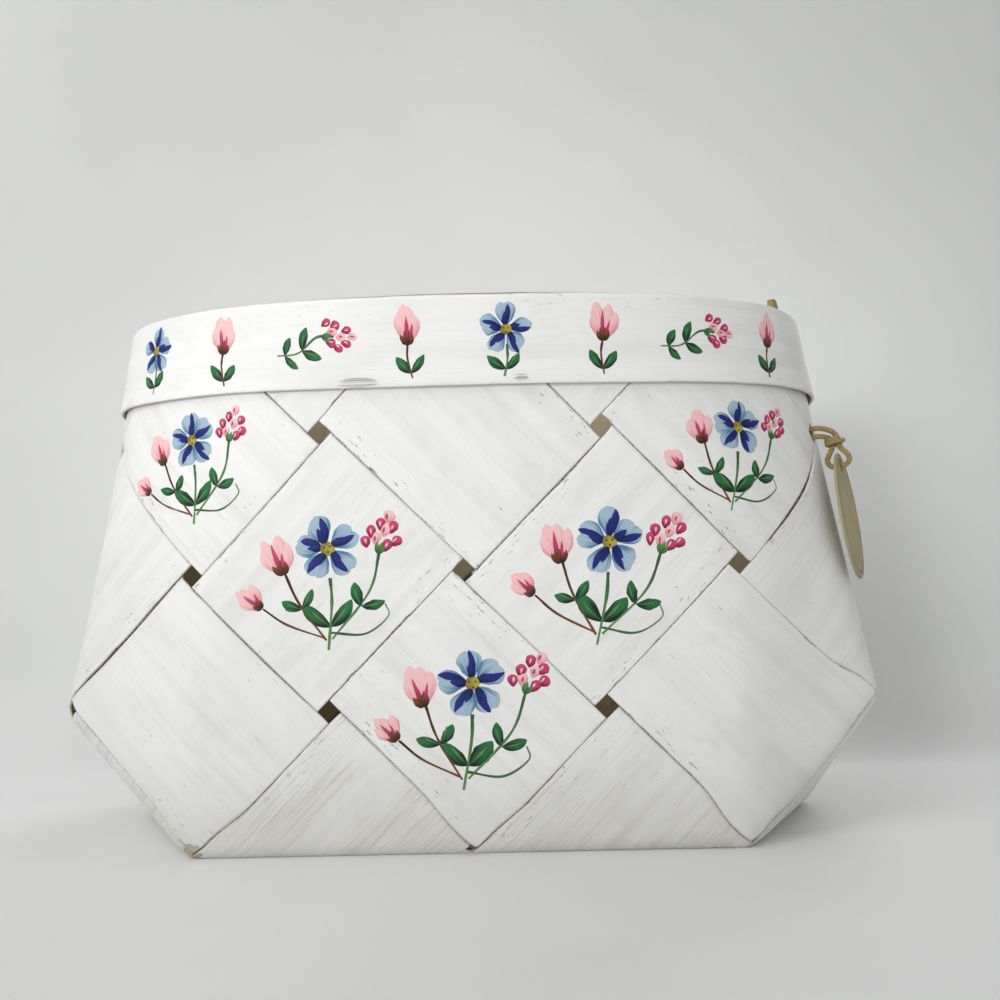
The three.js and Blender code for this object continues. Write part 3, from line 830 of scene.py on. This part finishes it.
def makeBand(name, outward, lapMiddle, finishes, number):
    settings = bandSet
    rng = np.random.default_rng(settings["seed"] + number)
    length = wallRound * diagonal + settings["lap"]
    along = np.linspace(0, length, int(length / settings["alongStep"]) + 1)
    steps = np.array(settings["edgeSteps"])
    rows = np.concatenate([steps, (settings["height"] - steps[:-1])[::-1]])
    edge = np.minimum(rows, settings["height"] - rows)
    s = (lapMiddle - settings["lap"] / 2 + along) / diagonal
    lifted = smooth((along - length + 2 * settings["lap"]) / settings["lap"])
    topWave, lowWave = (
        settings["wave"] * (wander(rng, along, slow) + 0.25 * wander(rng, along, quick))
        for slow, quick in settings["waveRuns"])
    up = rows[:, None] / settings["height"]
    rise = rows[:, None] + up ** 3 * topWave[None] + (1 - up) ** 3 * lowWave[None]
    z = bandBottom + rise / diagonal
    sGrid = np.broadcast_to(s[None], z.shape)
    flare = bandFlare(sGrid, rows[:, None]) if outward > 0 else 0.0
    crevice = np.full(z.shape, 20.0)  # far from any crossing
    for at, above, halfLength, halfHeight in settings["scuffs"]:  # dirt packs there as at a crossing
        around = roundWall(sGrid - at) * diagonal
        away = np.hypot(around / halfLength, (rise - above) / halfHeight)
        crevice = np.minimum(crevice, 0.75 * away ** 2 - 0.4)
    seat = weaveHalf + settings["clearance"] + settings["thickness"] / 2
    offset = outward * (seat + lifted * (settings["thickness"] + settings["lapClearance"]))[None] + flare
    normal = wallNormal(sGrid, z)
    middle = wall(sGrid, z) + offset[..., None] * normal
    rounded = roundedEdge(edge, settings["edgeRound"])
    skin = (settings["thickness"] / 2 * (0.3 + 0.7 * rounded))[:, None, None] * normal
    quads = gridQuads(*z.shape)[:, ::-1]
    points, faces, sides, source = closedSheet(
        (middle + skin).reshape(-1, 3), (middle - skin).reshape(-1, 3), quads)
    data = stripData(source, along[None], rise, 500 + 61.0 * number, edge[:, None])
    data["crevice"] = crevice.ravel()[source]
    data.update({key: np.zeros(len(source)) for key in ("rubbed", "low", "footDarkening")})
    piece = makePiece(name + "_bent", points, faces, "basket", finishes, data, sides == 1)
    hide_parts(name)


makeBand("outer_rim_band", 1, bandSet["outerLap"], [bandPaint, rawSplint], 0)
makeBand("inner_rim_band", -1, bandSet["innerLap"], [rawSplint, rawSplint], 1)
print("rim bands bent")

# A raw splint end, torn off above the bands at the front right
stubSet = {
    "place": 94.8, "width": 3.2, "rise": 3.7, "clearance": 0.3, "torn": 0.5, "tornRun": 0.55,
    "columns": 17, "rows": 12, "seed": 77,
    "finish": {"pale": (0.33, 0.235, 0.10, 1), "dark": (0.20, 0.13, 0.045, 1)},
}


def makeStub(settings):
    rng = np.random.default_rng(settings["seed"])
    foot = np.array([[settings["place"]], [splintTop * diagonal + settings["clearance"]]]) / diagonal
    out = wallNormal(*foot)[0]
    level = unit(np.cross((0.0, 0.0, 1.0), out))
    upward = np.cross(out, level)
    across = np.linspace(-0.5, 0.5, settings["columns"]) * settings["width"]
    height = bandSet["proud"] - settings["clearance"] + settings["rise"]
    torn = settings["torn"] * (0.5 + 0.5 * wander(rng, across, settings["tornRun"]) + 0.25 * (across > 0.9))
    up = np.linspace(0, 1, settings["rows"])[:, None] * (height - torn)[None]
    sideways = np.broadcast_to(across[None], up.shape)
    half = weaveHalf + bandSet["clearance"] - settings["clearance"]
    thinner = 1 - 0.35 * smooth((up - 1.2) / height)
    taper = half * thinner * (1 - 0.3 * (np.abs(sideways) / across.max()) ** 6)
    middle = wall(*foot)[0] + sideways[..., None] * level + up[..., None] * upward
    skin = taper[..., None] * out
    points, faces, _, source = closedSheet(
        (middle + skin).reshape(-1, 3), (middle - skin).reshape(-1, 3), gridQuads(*up.shape))
    data = stripData(source, up * 4, sideways * 2, 900.0, 1.2)
    tornWood = rawWood("tornWood", {**rawWoodSet, **settings["finish"]})
    piece = makePiece("splint_stub_torn", points, faces, "basket", [tornWood], data)
    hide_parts("splint_stub")


makeStub(stubSet)

# Hang tag: an oval of tan card with a punched eyelet
tagSet = {
    "eyelet": (104.9446, -34.2774, 99.6005),
    "normal": (0.87539, -0.46546, 0.13053), "level": (0.46947, 0.88295, 0.0),
    "up": (-0.11525, 0.06128, 0.99144),
    "length": 35.5, "width": 22.0, "thickness": 0.8, "eyeletDiameter": 3.2, "eyeletMargin": 3.6,
    "around": 144, "edgeSteps": (0.0, 0.06, 0.16, 0.34), "rings": 22, "edgeRound": 0.34,
    "card": (0.43, 0.37, 0.215, 1), "cardDark": (0.32, 0.265, 0.15, 1), "line": (0.075, 0.058, 0.04, 1),
    "lineInset": 1.7, "lineWidth": 0.34,
}


def tanCard(settings):
    material, tree, shader = newMaterial("tanCard")
    inset, place = surfaceData(tree, "inset"), surfaceData(tree, "place", "Vector")
    fibres = stretchedNoise(tree, place, (1.1, 3.4, 1.0), 5.0, 0.65)
    cloud = stretchedNoise(tree, place, (0.09, 0.13, 1.0), 3.0)
    clouded = between(tree, cloud, 0.3, 0.72, (0.0, 0.55))
    flecked = between(tree, fibres, 0.52, 0.75, (0.0, 0.3))
    shaky = plus(tree, inset, swing(tree, cloud, 0.5))
    fromLine = calc(tree, "ABSOLUTE", calc(tree, "SUBTRACT", shaky, settings["lineInset"]))
    inked = between(tree, fromLine, settings["lineWidth"] * 0.35, settings["lineWidth"] * 0.75, (0.85, 0.0))
    frayed = between(tree, inset, 0.0, 0.5, (0.55, 0.0))
    dark = settings["cardDark"]
    colour = coats(
        tree, settings["card"], (clouded, dark), (flecked, dark), (inked, settings["line"]), (frayed, dark))
    feedShader(tree, shader, colour, fibres, (0.72, 0.9), fibres, 0.25)
    return material


def makeTag(settings):
    turn = np.linspace(0, 2 * np.pi, settings["around"], endpoint=False)
    bore, wide, long = settings["eyeletDiameter"] / 2, settings["width"] / 2, settings["length"] / 2
    middle = settings["eyeletMargin"] - long
    ray = np.stack([np.sin(turn), np.cos(turn)], axis=1)
    # distance from the eyelet to the oval along each ray
    a = (ray[:, 0] / wide) ** 2 + (ray[:, 1] / long) ** 2
    b = -2 * ray[:, 1] * middle / long ** 2
    c = (middle / long) ** 2 - 1
    far = (-b + np.sqrt(b * b - 4 * a * c)) / (2 * a)
    steps = np.array(settings["edgeSteps"])
    spread = np.linspace(0, 1, settings["rings"])[1:-1]
    reach = far - bore
    rings = [bore + step for step in steps[:, None] + 0 * turn]
    rings += [bore + steps[-1] + (reach - 2 * steps[-1]) * t for t in spread]
    rings += [far - step for step in (steps[::-1])[:, None] + 0 * turn]
    radius = np.array(rings)
    level, height = radius * ray[:, 0], radius * ray[:, 1]
    oval = np.hypot(level / wide, (height - middle) / long)
    slope = np.hypot(level / wide ** 2, (height - middle) / long ** 2)
    inset = (1 - oval) * oval / np.maximum(slope, 1e-6)
    nearest = np.minimum(radius - bore, far - radius)
    rounded = roundedEdge(nearest, settings["edgeRound"])
    half = settings["thickness"] / 2 * (0.4 + 0.6 * rounded)
    axes = np.array([settings["normal"], settings["level"], settings["up"]])
    flat = np.stack([0 * level, level, height], axis=-1)
    skin = half[..., None] * np.array([1, 0, 0])
    outer, inner = (np.array(settings["eyelet"]) + side @ axes for side in (flat + skin, flat - skin))
    quads = ringQuads(*radius.shape)[:, ::-1]
    points, faces, _, source = closedSheet(outer.reshape(-1, 3), inner.reshape(-1, 3), quads)
    data = {"inset": inset.ravel()[source], "place": flat.reshape(-1, 3)[source][:, [1, 2, 0]]}
    piece = makePiece("hang_tag_card", points, faces, "tag", [tanCard(settings)], data)
    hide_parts("hang_tag")
    return piece


tag = makeTag(tagSet)
print("tag hung")

# Painted flowers: each brush stroke is a thin raised lens of paint on the wood
flowerSet = {
    "paint": 0.11, "sink": 0.06, "across": (-1.0, -0.72, -0.3, 0.3, 0.72, 1.0),
    "colours": {  # light, dark
        "skyBlue": ((0.35, 0.48, 0.57, 1), (0.06, 0.18, 0.33, 1)),
        "deepBlue": ((0.012, 0.022, 0.19, 1), (0.003, 0.005, 0.06, 1)),
        "night": ((0.008, 0.010, 0.024, 1), (0.003, 0.004, 0.010, 1)),
        "ochre": ((0.42, 0.36, 0.06, 1), (0.20, 0.17, 0.025, 1)),
        "pink": ((0.86, 0.53, 0.53, 1), (0.70, 0.29, 0.33, 1)),
        "rose": ((0.55, 0.055, 0.16, 1), (0.26, 0.006, 0.045, 1)),
        "brown": ((0.17, 0.055, 0.016, 1), (0.045, 0.012, 0.006, 1)),
        "leaf": ((0.022, 0.15, 0.045, 1), (0.002, 0.022, 0.012, 1)),
        "stem": ((0.10, 0.24, 0.07, 1), (0.025, 0.095, 0.03, 1)),
    },
    "rimCount": 24, "cornerClear": 0.1, "seamClear": 9, "seed": 11,
    # posies: round the wall, up it, turn in degrees, size
    "posies": [
        (-0.5, 1.0, 3, 1.2), (0.5, 1.0, -4, 1.22), (0.0, 0.5, -2, 1.24),
        (-1.0, 1.42, 5, 1.0), (1.0, 1.42, -4, 1.0),
        (3.5, 1.0, -3, 1.2), (4.5, 1.0, 4, 1.22), (4.0, 0.5, 2, 1.24),
        (3.0, 1.42, 4, 1.0), (5.0, 1.42, -5, 1.0),
    ],
    # berries of a sprig: sideways, up
    "berries": [
        (0, 5.9), (-1.4, 4.6), (1.5, 4.5), (0.1, 3.4), (-2.5, 2.9), (2.6, 2.7),
        (-1.2, 1.7), (1.3, 1.5), (-2.9, 1.0),
    ],
}
strokes = {key: [] for key in flowerSet["colours"]}
flowerRng = np.random.default_rng(flowerSet["seed"])


# One stroke: a path in millimetres on the surface, and its half width at each point
def addStroke(colour, path, halfWidth, place, thickness=1.0):
    direction = unit(np.gradient(path, axis=0))
    leftward = np.stack([-direction[:, 1], direction[:, 0]], axis=1)
    across = np.array(flowerSet["across"])
    flat = path[:, None] + across[None, :, None] * halfWidth[:, None, None] * leftward[:, None]
    body = halfWidth / max(halfWidth.max(), 1e-6)
    height = flowerSet["paint"] * thickness * (1 - 0.85 * across[None] ** 2) * (0.35 + 0.65 * body[:, None])
    point, normal = place(flat[..., 0], flat[..., 1])
    outer = (point + height[..., None] * normal).reshape(-1, 3)
    inner = (point - flowerSet["sink"] * normal).reshape(-1, 3)
    quads = gridQuads(*height.shape)[:, ::-1]
    run, side = np.broadcast_arrays(np.linspace(0, 1, len(path))[:, None], across[None])
    mark = np.stack([run, side, np.full(height.shape, flowerRng.uniform(0, 50))], axis=-1)
    strokes[colour].append((outer, inner, quads, mark.reshape(-1, 3)))


def petal(colour, at, x, y, angle, length, width, belly=0.6, bend=0.0, blunt=0.7, thickness=1.0):
    angle, bend = angle + flowerRng.normal(0, 2.5), bend + flowerRng.normal(0, 5)
    length, width = length * flowerRng.normal(1, 0.045), width * flowerRng.normal(1, 0.07)
    t = np.linspace(0, 1, 15)
    heading = np.radians(angle + bend * t)
    step = length / 14
    path = np.stack([x + np.cumsum(np.cos(heading)) * step - np.cos(heading[0]) * step,
                     y + np.cumsum(np.sin(heading)) * step - np.sin(heading[0]) * step], axis=1)
    swollen = np.sin(np.pi * t ** (math.log(0.5) / math.log(belly))) ** blunt
    shaky = 1 + 0.09 * wander(flowerRng, t, 0.17)
    addStroke(colour, path, width / 2 * np.maximum(swollen * shaky, 0.05), at, thickness)


# A place at some distance from another, in a direction in degrees
def off(x, y, angle, distance):
    return x + distance * math.cos(math.radians(angle)), y + distance * math.sin(math.radians(angle))


def dab(colour, at, x, y, radius, thickness):
    angle = flowerRng.uniform(-60, 60)
    root = off(x, y, angle, -radius)
    petal(colour, at, *root, angle, 2 * radius, 1.85 * radius, 0.5, 0, 0.5, thickness)


def line(colour, at, points, start, end):
    path = smoothPath([(a, b, 0.0) for a, b in points], 22)[:, :2]
    shaky = 1 + 0.22 * wander(flowerRng, np.linspace(0, 1, 22), 0.12)
    addStroke(colour, path, np.linspace(start, end, 22) / 2 * shaky, at, 0.8)


def turned(at, x, y, angle, size):
    c, s = math.cos(math.radians(angle)) * size, math.sin(math.radians(angle)) * size
    return lambda a, b: at(x + c * a - s * b, y + s * a + c * b)


def blossom(at, x, y, size, turn):
    for k in range(5):
        angle = turn + 90 + 72 * k + flowerRng.normal(0, 4)
        root = off(x, y, angle, 0.1 * size)
        petal("skyBlue", at, *root, angle - 14, size, 0.6 * size, 0.66, 12, 0.6)
        petal("skyBlue", at, *root, angle + 14, 0.96 * size, 0.6 * size, 0.66, -12, 0.6, 1.2)
        petal("deepBlue", at, *root, angle - 20, 0.98 * size, 0.3 * size, 0.62, 22, 0.7, 1.7)
        petal("deepBlue", at, *root, angle + 4, 0.66 * size, 0.3 * size, 0.5, -8, 0.7, 1.9)
        for aside in (-12, 10):
            points = [off(x, y, angle + aside, share * size) for share in (0.2, 0.38, 0.56)]
            line("night", at, points, 0.055 * size, 0.02 * size)
    dab("ochre", at, x, y, 0.25 * size, 2.6)
    for k in range(3):
        dab("brown", at, *off(x, y, turn + 30 + 120 * k, 0.11 * size), 0.05 * size, 3.6)


def bud(at, x, y, size, angle):
    for aside, length in ((31, 0.82), (-31, 0.84), (12, 1.0), (-10, 0.97)):
        petal("pink", at, x, y, angle + aside, length * size, 0.36 * size, 0.62, -aside * 0.75, 0.65, 1.1)
    petal("rose", at, x, y, angle + 6, 0.8 * size, 0.15 * size, 0.5, -10, 0.8, 1.8)
    petal("rose", at, x, y, angle - 22, 0.62 * size, 0.11 * size, 0.5, 12, 0.8, 1.8)
    for aside, length in ((48, 0.36), (-46, 0.36), (14, 0.41), (-12, 0.41)):
        petal("brown", at, x, y, angle + aside, length * size, 0.17 * size, 0.4, -aside * 0.7, 0.8, 2.0)


def berries(at, x, y, size, angle):
    tip = turned(at, x, y, angle - 90, size)
    for k, (a, b) in enumerate(flowerSet["berries"]):
        a, b = a + flowerRng.normal(0, 0.15), b + flowerRng.normal(0, 0.15)
        skin, shine = ("rose", "pink") if k % 3 else ("pink", "rose")
        petal(skin, tip, 0.72 * a, b - 1.0, 90 - 9 * a, 2.2, 1.75, 0.6, 0, 0.5, 1.5)
        petal(shine, tip, 0.72 * a - 0.15, b - 0.5, 90 - 9 * a, 1.2, 0.55, 0.6, 0, 0.6, 2.2)
    for aside in (38, -36, 4):
        petal("stem", tip, 0, -0.4, 90 + aside, 2.2, 0.75, 0.45, -aside * 0.8, 0.8, 2.4)


def leafPair(at, x, y, size, angle, spread=55):
    for aside in (spread, -spread):
        petal("leaf", at, x, y, angle + aside, size, 0.44 * size, 0.52, -aside * 0.4, 0.7, 1.2)
        petal("stem", at, x, y, angle + aside * 0.92, 0.78 * size, 0.11 * size, 0.5, -aside * 0.3, 0.8, 2.0)
        petal("leaf", at, x, y, angle + aside * 1.12, 0.8 * size, 0.14 * size, 0.55, -aside * 0.4, 0.8, 1.9)


def posy(at):
    line("stem", at, [(1.0, -1.0), (0.9, -6.5), (-0.6, -16.5)], 0.75, 0.55)
    line("brown", at, [(-8.8, 0.8), (-6.2, -6.0), (-0.9, -14.4)], 0.6, 0.5)
    line("stem", at, [(12.2, 4.2), (9.2, -4.5), (0.4, -14.2)], 0.6, 0.5)
    line("brown", at, [(-14.2, -6.6), (-9.2, -10.4), (-1.4, -13.8)], 0.5, 0.45)
    line("stem", at, [(0.2, -12.8), (7.5, -13.6), (12.8, -10.2), (12.4, -7.4)], 0.55, 0.3)
    leafPair(at, 0.3, -11.5, 7.6, 92, 58)
    leafPair(at, 7.3, -7.6, 5.4, 58, 62)
    leafPair(at, -5.6, -7.2, 5.0, 112, 66)
    bud(at, -9.0, 0.4, 8.8, 108)
    bud(at, -14.4, -6.5, 6.6, 138)
    berries(at, 12.0, 3.8, 1.28, 68)
    blossom(at, 1.0, 5.4, 6.6, 8)


def rimBlossom(at):
    line("stem", at, [(0.4, -1.0), (0.2, -4.5), (-0.9, -8.6)], 0.65, 0.5)
    leafPair(at, -0.4, -6.9, 5.6, 92, 62)
    blossom(at, 0.4, 2.5, 5.7, -6)


def rimBud(at):
    line("brown", at, [(0.2, 0.2), (-0.4, -3.6), (0.3, -8.6)], 0.6, 0.5)
    leafPair(at, 0.1, -7.4, 5.4, 90, 50)
    bud(at, 0.2, -0.6, 9.0, 88)


def rimBerries(at):
    line("stem", at, [(6.0, 1.8), (1.5, 1.9), (-3.5, -1.4), (-9.0, -1.6)], 0.65, 0.4)
    leafPair(at, -2.4, -0.9, 5.4, 24, 66)
    leafPair(at, -7.0, -1.7, 4.4, 8, 70)
    berries(at, 3.4, 1.8, 1.2, -3)


def onWall(s0, z0):
    def at(x, y):
        s, z = s0 + x / diagonal, z0 + y / diagonal
        raised = weaveSet["splintThickness"] + splintSet["swell"] * swell(s + z, s - z)
        normal = wallNormal(s, z)
        return wall(s, z) + raised[..., None] * normal, normal
    return at


def onBand(s0):
    def at(x, y):
        s, z = s0 + x / diagonal, (bandBottom + bandTop) / 2 + y / diagonal
        normal = wallNormal(s, z)
        fromLap = s * diagonal - bandSet["outerLap"] + 1.5 * bandSet["lap"]
        run = np.mod(fromLap, wallRound * diagonal) / bandSet["lap"]
        onLap = np.where(run < 2, smooth(run), 0) * (bandSet["thickness"] + bandSet["lapClearance"])
        raised = bandFace + onLap + bandFlare(s, (z - bandBottom) * diagonal)
        return wall(s, z) + raised[..., None] * normal, normal
    return at


def brushPaint(name, light, dark):
    material, tree, shader = newMaterial(name)
    mark = surfaceData(tree, "mark", "Vector")
    parts = addNode(tree, "ShaderNodeSeparateXYZ", {0: mark}).outputs
    tone = useGroup(tree, brushMarks, {"Mark": mark, "Run": parts["X"], "Side": parts["Y"]})
    shader.inputs["Specular IOR Level"].default_value = 0.25
    colour = blendColour(tree, tone["Load"], light, dark)
    feedShader(tree, shader, colour, tone["Hairs"], (0.38, 0.55), tone["Hairs"], 0.3, 0.0001)
    return material


# Streaks left by the brush, and paint that thins out along the stroke
def makeBrushMarks():
    group, given, out = newGroup("brushMarks", {"Mark": None, "Run": 0.5, "Side": 0.0}, ["Load", "Hairs"])
    hairs = stretchedNoise(group, given["Mark"], (1.5, 4.2, 1.0), 4.0, 0.68)
    fade = times(group, calc(group, "SUBTRACT", 0.5, given["Run"]), 0.55)
    rimmed = times(group, times(group, given["Side"], given["Side"]), 0.18)
    load = plus(group, plus(group, hairs, fade), rimmed)
    group.links.new(between(group, load, 0.38, 0.74), out["Load"])
    group.links.new(hairs, out["Hairs"])
    return group


brushMarks = makeBrushMarks()
for s0, z0, angle, size in flowerSet["posies"]:
    posy(turned(onWall(s0, z0), 0, 0, angle, size))
for k in range(flowerSet["rimCount"]):
    s0 = wallRound * (k + 0.5) / flowerSet["rimCount"]
    atCorner = abs(abs(s0 % 4 - 2) - 0.5) < flowerSet["cornerClear"]
    atSeam = abs(s0 * diagonal - bandSet["outerLap"] - bandSet["lap"] / 2) <= flowerSet["seamClear"]
    if not atCorner and not atSeam:
        motif = (rimBlossom, rimBud, rimBerries, rimBud)[k % 4]
        motif(turned(onBand(s0), 0, 0, flowerRng.uniform(-6, 6), 1.0))

for colour, (light, dark) in flowerSet["colours"].items():
    points, faces, marks, count = [], [], [], 0
    for outer, inner, quads, mark in strokes[colour]:
        stroke, strokeFaces, _, source = closedSheet(outer, inner, quads)
        points.append(stroke)
        faces.append(strokeFaces + count)
        marks.append(mark[source])
        count += len(stroke)
    paint = brushPaint(f"brush_{colour}", light, dark)
    data = {"mark": np.concatenate(marks)}
    makePiece(f"painted_{colour}", np.concatenate(points), np.concatenate(faces), "basket", [paint], data)
print("flowers painted:", sum(len(group) for group in strokes.values()), "strokes")

# Stage: a pale floor, and a pale sheet swept up close behind, seen only from its front; both carry painted
# light, paler on the left and darker on the right
stageSet = {
    # painted light: the left colour is the lit side, the right colour the shaded side, blended over fade
    # metres either side of the middle
    "floor": 3.0, "left": (0.89, 0.90, 0.89, 1), "right": (0.71, 0.72, 0.71, 1), "fade": 0.24,
    "sheetFront": -1.2, "sheetBehind": 0.1, "sheetBend": 0.04, "sheetHalf": 1.6,
    "sheetUp": 1.5, "sheetLift": 0.0002,
}


def stagePaint(name, settings, isSheet):
    material, tree, shader = newMaterial(name)
    place = addNode(tree, "ShaderNodeTexCoord").outputs["Object"]
    cloud = stretchedNoise(tree, place, (7.0, 7.0, 7.0), 3.0)
    across = addNode(tree, "ShaderNodeSeparateXYZ", {0: place}).outputs["X"]
    # painted light: paler on the left, darker on the right, as if lit from the left
    side = between(tree, across, -settings["fade"], settings["fade"])
    colour = blendColour(tree, side, settings["left"], settings["right"])
    clouded = blendColour(tree, between(tree, cloud, 0.3, 0.7, (0.0, 0.05)), colour, (0, 0, 0, 1))
    tree.links.new(clouded, shader.inputs["Base Color"])
    shader.inputs["Roughness"].default_value = 0.85
    clear = addNode(tree, "ShaderNodeBsdfTransparent").outputs[0]
    away = addNode(tree, "ShaderNodeNewGeometry").outputs["Backfacing"]
    seen = addNode(tree, "ShaderNodeLightPath").outputs["Is Camera Ray"]
    if isSheet:  # it shows to the camera alone, and only its front
        solid = times(tree, seen, calc(tree, "SUBTRACT", 1.0, away))
    else:
        solid = calc(tree, "SUBTRACT", 1.0, times(tree, seen, away))
    mixed = addNode(tree, "ShaderNodeMixShader", {0: solid, 1: clear, 2: shader.outputs[0]}).outputs[0]
    tree.links.new(mixed, tree.nodes["Material Output"].inputs["Surface"])
    return material


def stagePiece(name, points, faces, paint):
    mesh = bpy.data.meshes.new(name)
    mesh.from_pydata(points, [], faces)
    mesh.polygons.foreach_set("use_smooth", np.ones(len(faces), dtype=bool))
    mesh.materials.append(paint)
    piece = bpy.data.objects.new(name, mesh)
    scene.collection.objects.link(piece)
    return piece


def makeStage(settings):
    size = settings["floor"]
    corners = [(-size, -size, 0), (size, -size, 0), (size, size, 0), (-size, size, 0)]
    floor = stagePiece("floor", corners, [(0, 1, 2, 3)], stagePaint("floorPaint", settings, False))
    bend, back, half = settings["sheetBend"], settings["sheetBehind"], settings["sheetHalf"]
    turn = np.linspace(0, np.pi / 2, 25)
    profile = [(settings["sheetFront"], 0.0)]
    profile += [(back - bend + bend * math.sin(t), bend - bend * math.cos(t)) for t in turn]
    profile.append((back, settings["sheetUp"]))
    points = [(x, y, z + settings["sheetLift"]) for y, z in profile for x in (-half, half)]
    faces = [(2 * k, 2 * k + 1, 2 * k + 3, 2 * k + 2) for k in range(len(profile) - 1)]
    sheet = stagePiece("backdrop", points, faces, stagePaint("backdropPaint", settings, True))


makeStage(stageSet)

lightSet = {
    "world": 0.525, "background": (0.66, 0.67, 0.66, 1),
    # name, place, aim, size, spread in degrees, watts
    "lamps": [
        ("windowLight", (-0.75, -0.85, 1.05), (0.0, 0.0, 0.05), 0.9, 180, 5.5),
        ("gridLight", (-0.27, -0.56, 0.2), (-0.03, -0.07, 0.15), 0.25, 30, 0.087),
        ("backFill", (0.5, 1.1, 0.7), (0.0, 0.0, 0.06), 0.9, 180, 5.0),
    ],
}


def makeLights(settings):
    world = bpy.data.worlds.new("studio")
    scene.world = world
    world.use_nodes = True
    tree = world.node_tree
    sky = tree.nodes["Background"]
    sky.inputs["Color"].default_value = (1, 1, 1, 1)
    sky.inputs["Strength"].default_value = settings["world"]
    shown = addNode(tree, "ShaderNodeBackground", {"Color": settings["background"], "Strength": 1.0})
    seen = addNode(tree, "ShaderNodeLightPath").outputs["Is Camera Ray"]
    inputs = {0: seen, 1: sky.outputs[0], 2: shown.outputs[0]}
    mixed = addNode(tree, "ShaderNodeMixShader", inputs).outputs[0]
    tree.links.new(mixed, tree.nodes["World Output"].inputs["Surface"])
    for name, place, aim, size, spread, watts in settings["lamps"]:
        data = bpy.data.lights.new(name, "AREA")
        data.shape = "DISK"
        data.size = size
        data.spread = math.radians(spread)
        data.energy = watts
        lamp = bpy.data.objects.new(name, data)
        lamp.location = place
        lamp.rotation_euler = (Vector(aim) - Vector(place)).to_track_quat("-Z", "Y").to_euler()
        lamp.visible_camera = False
        scene.collection.objects.link(lamp)


makeLights(lightSet)
print("stage and lights set")
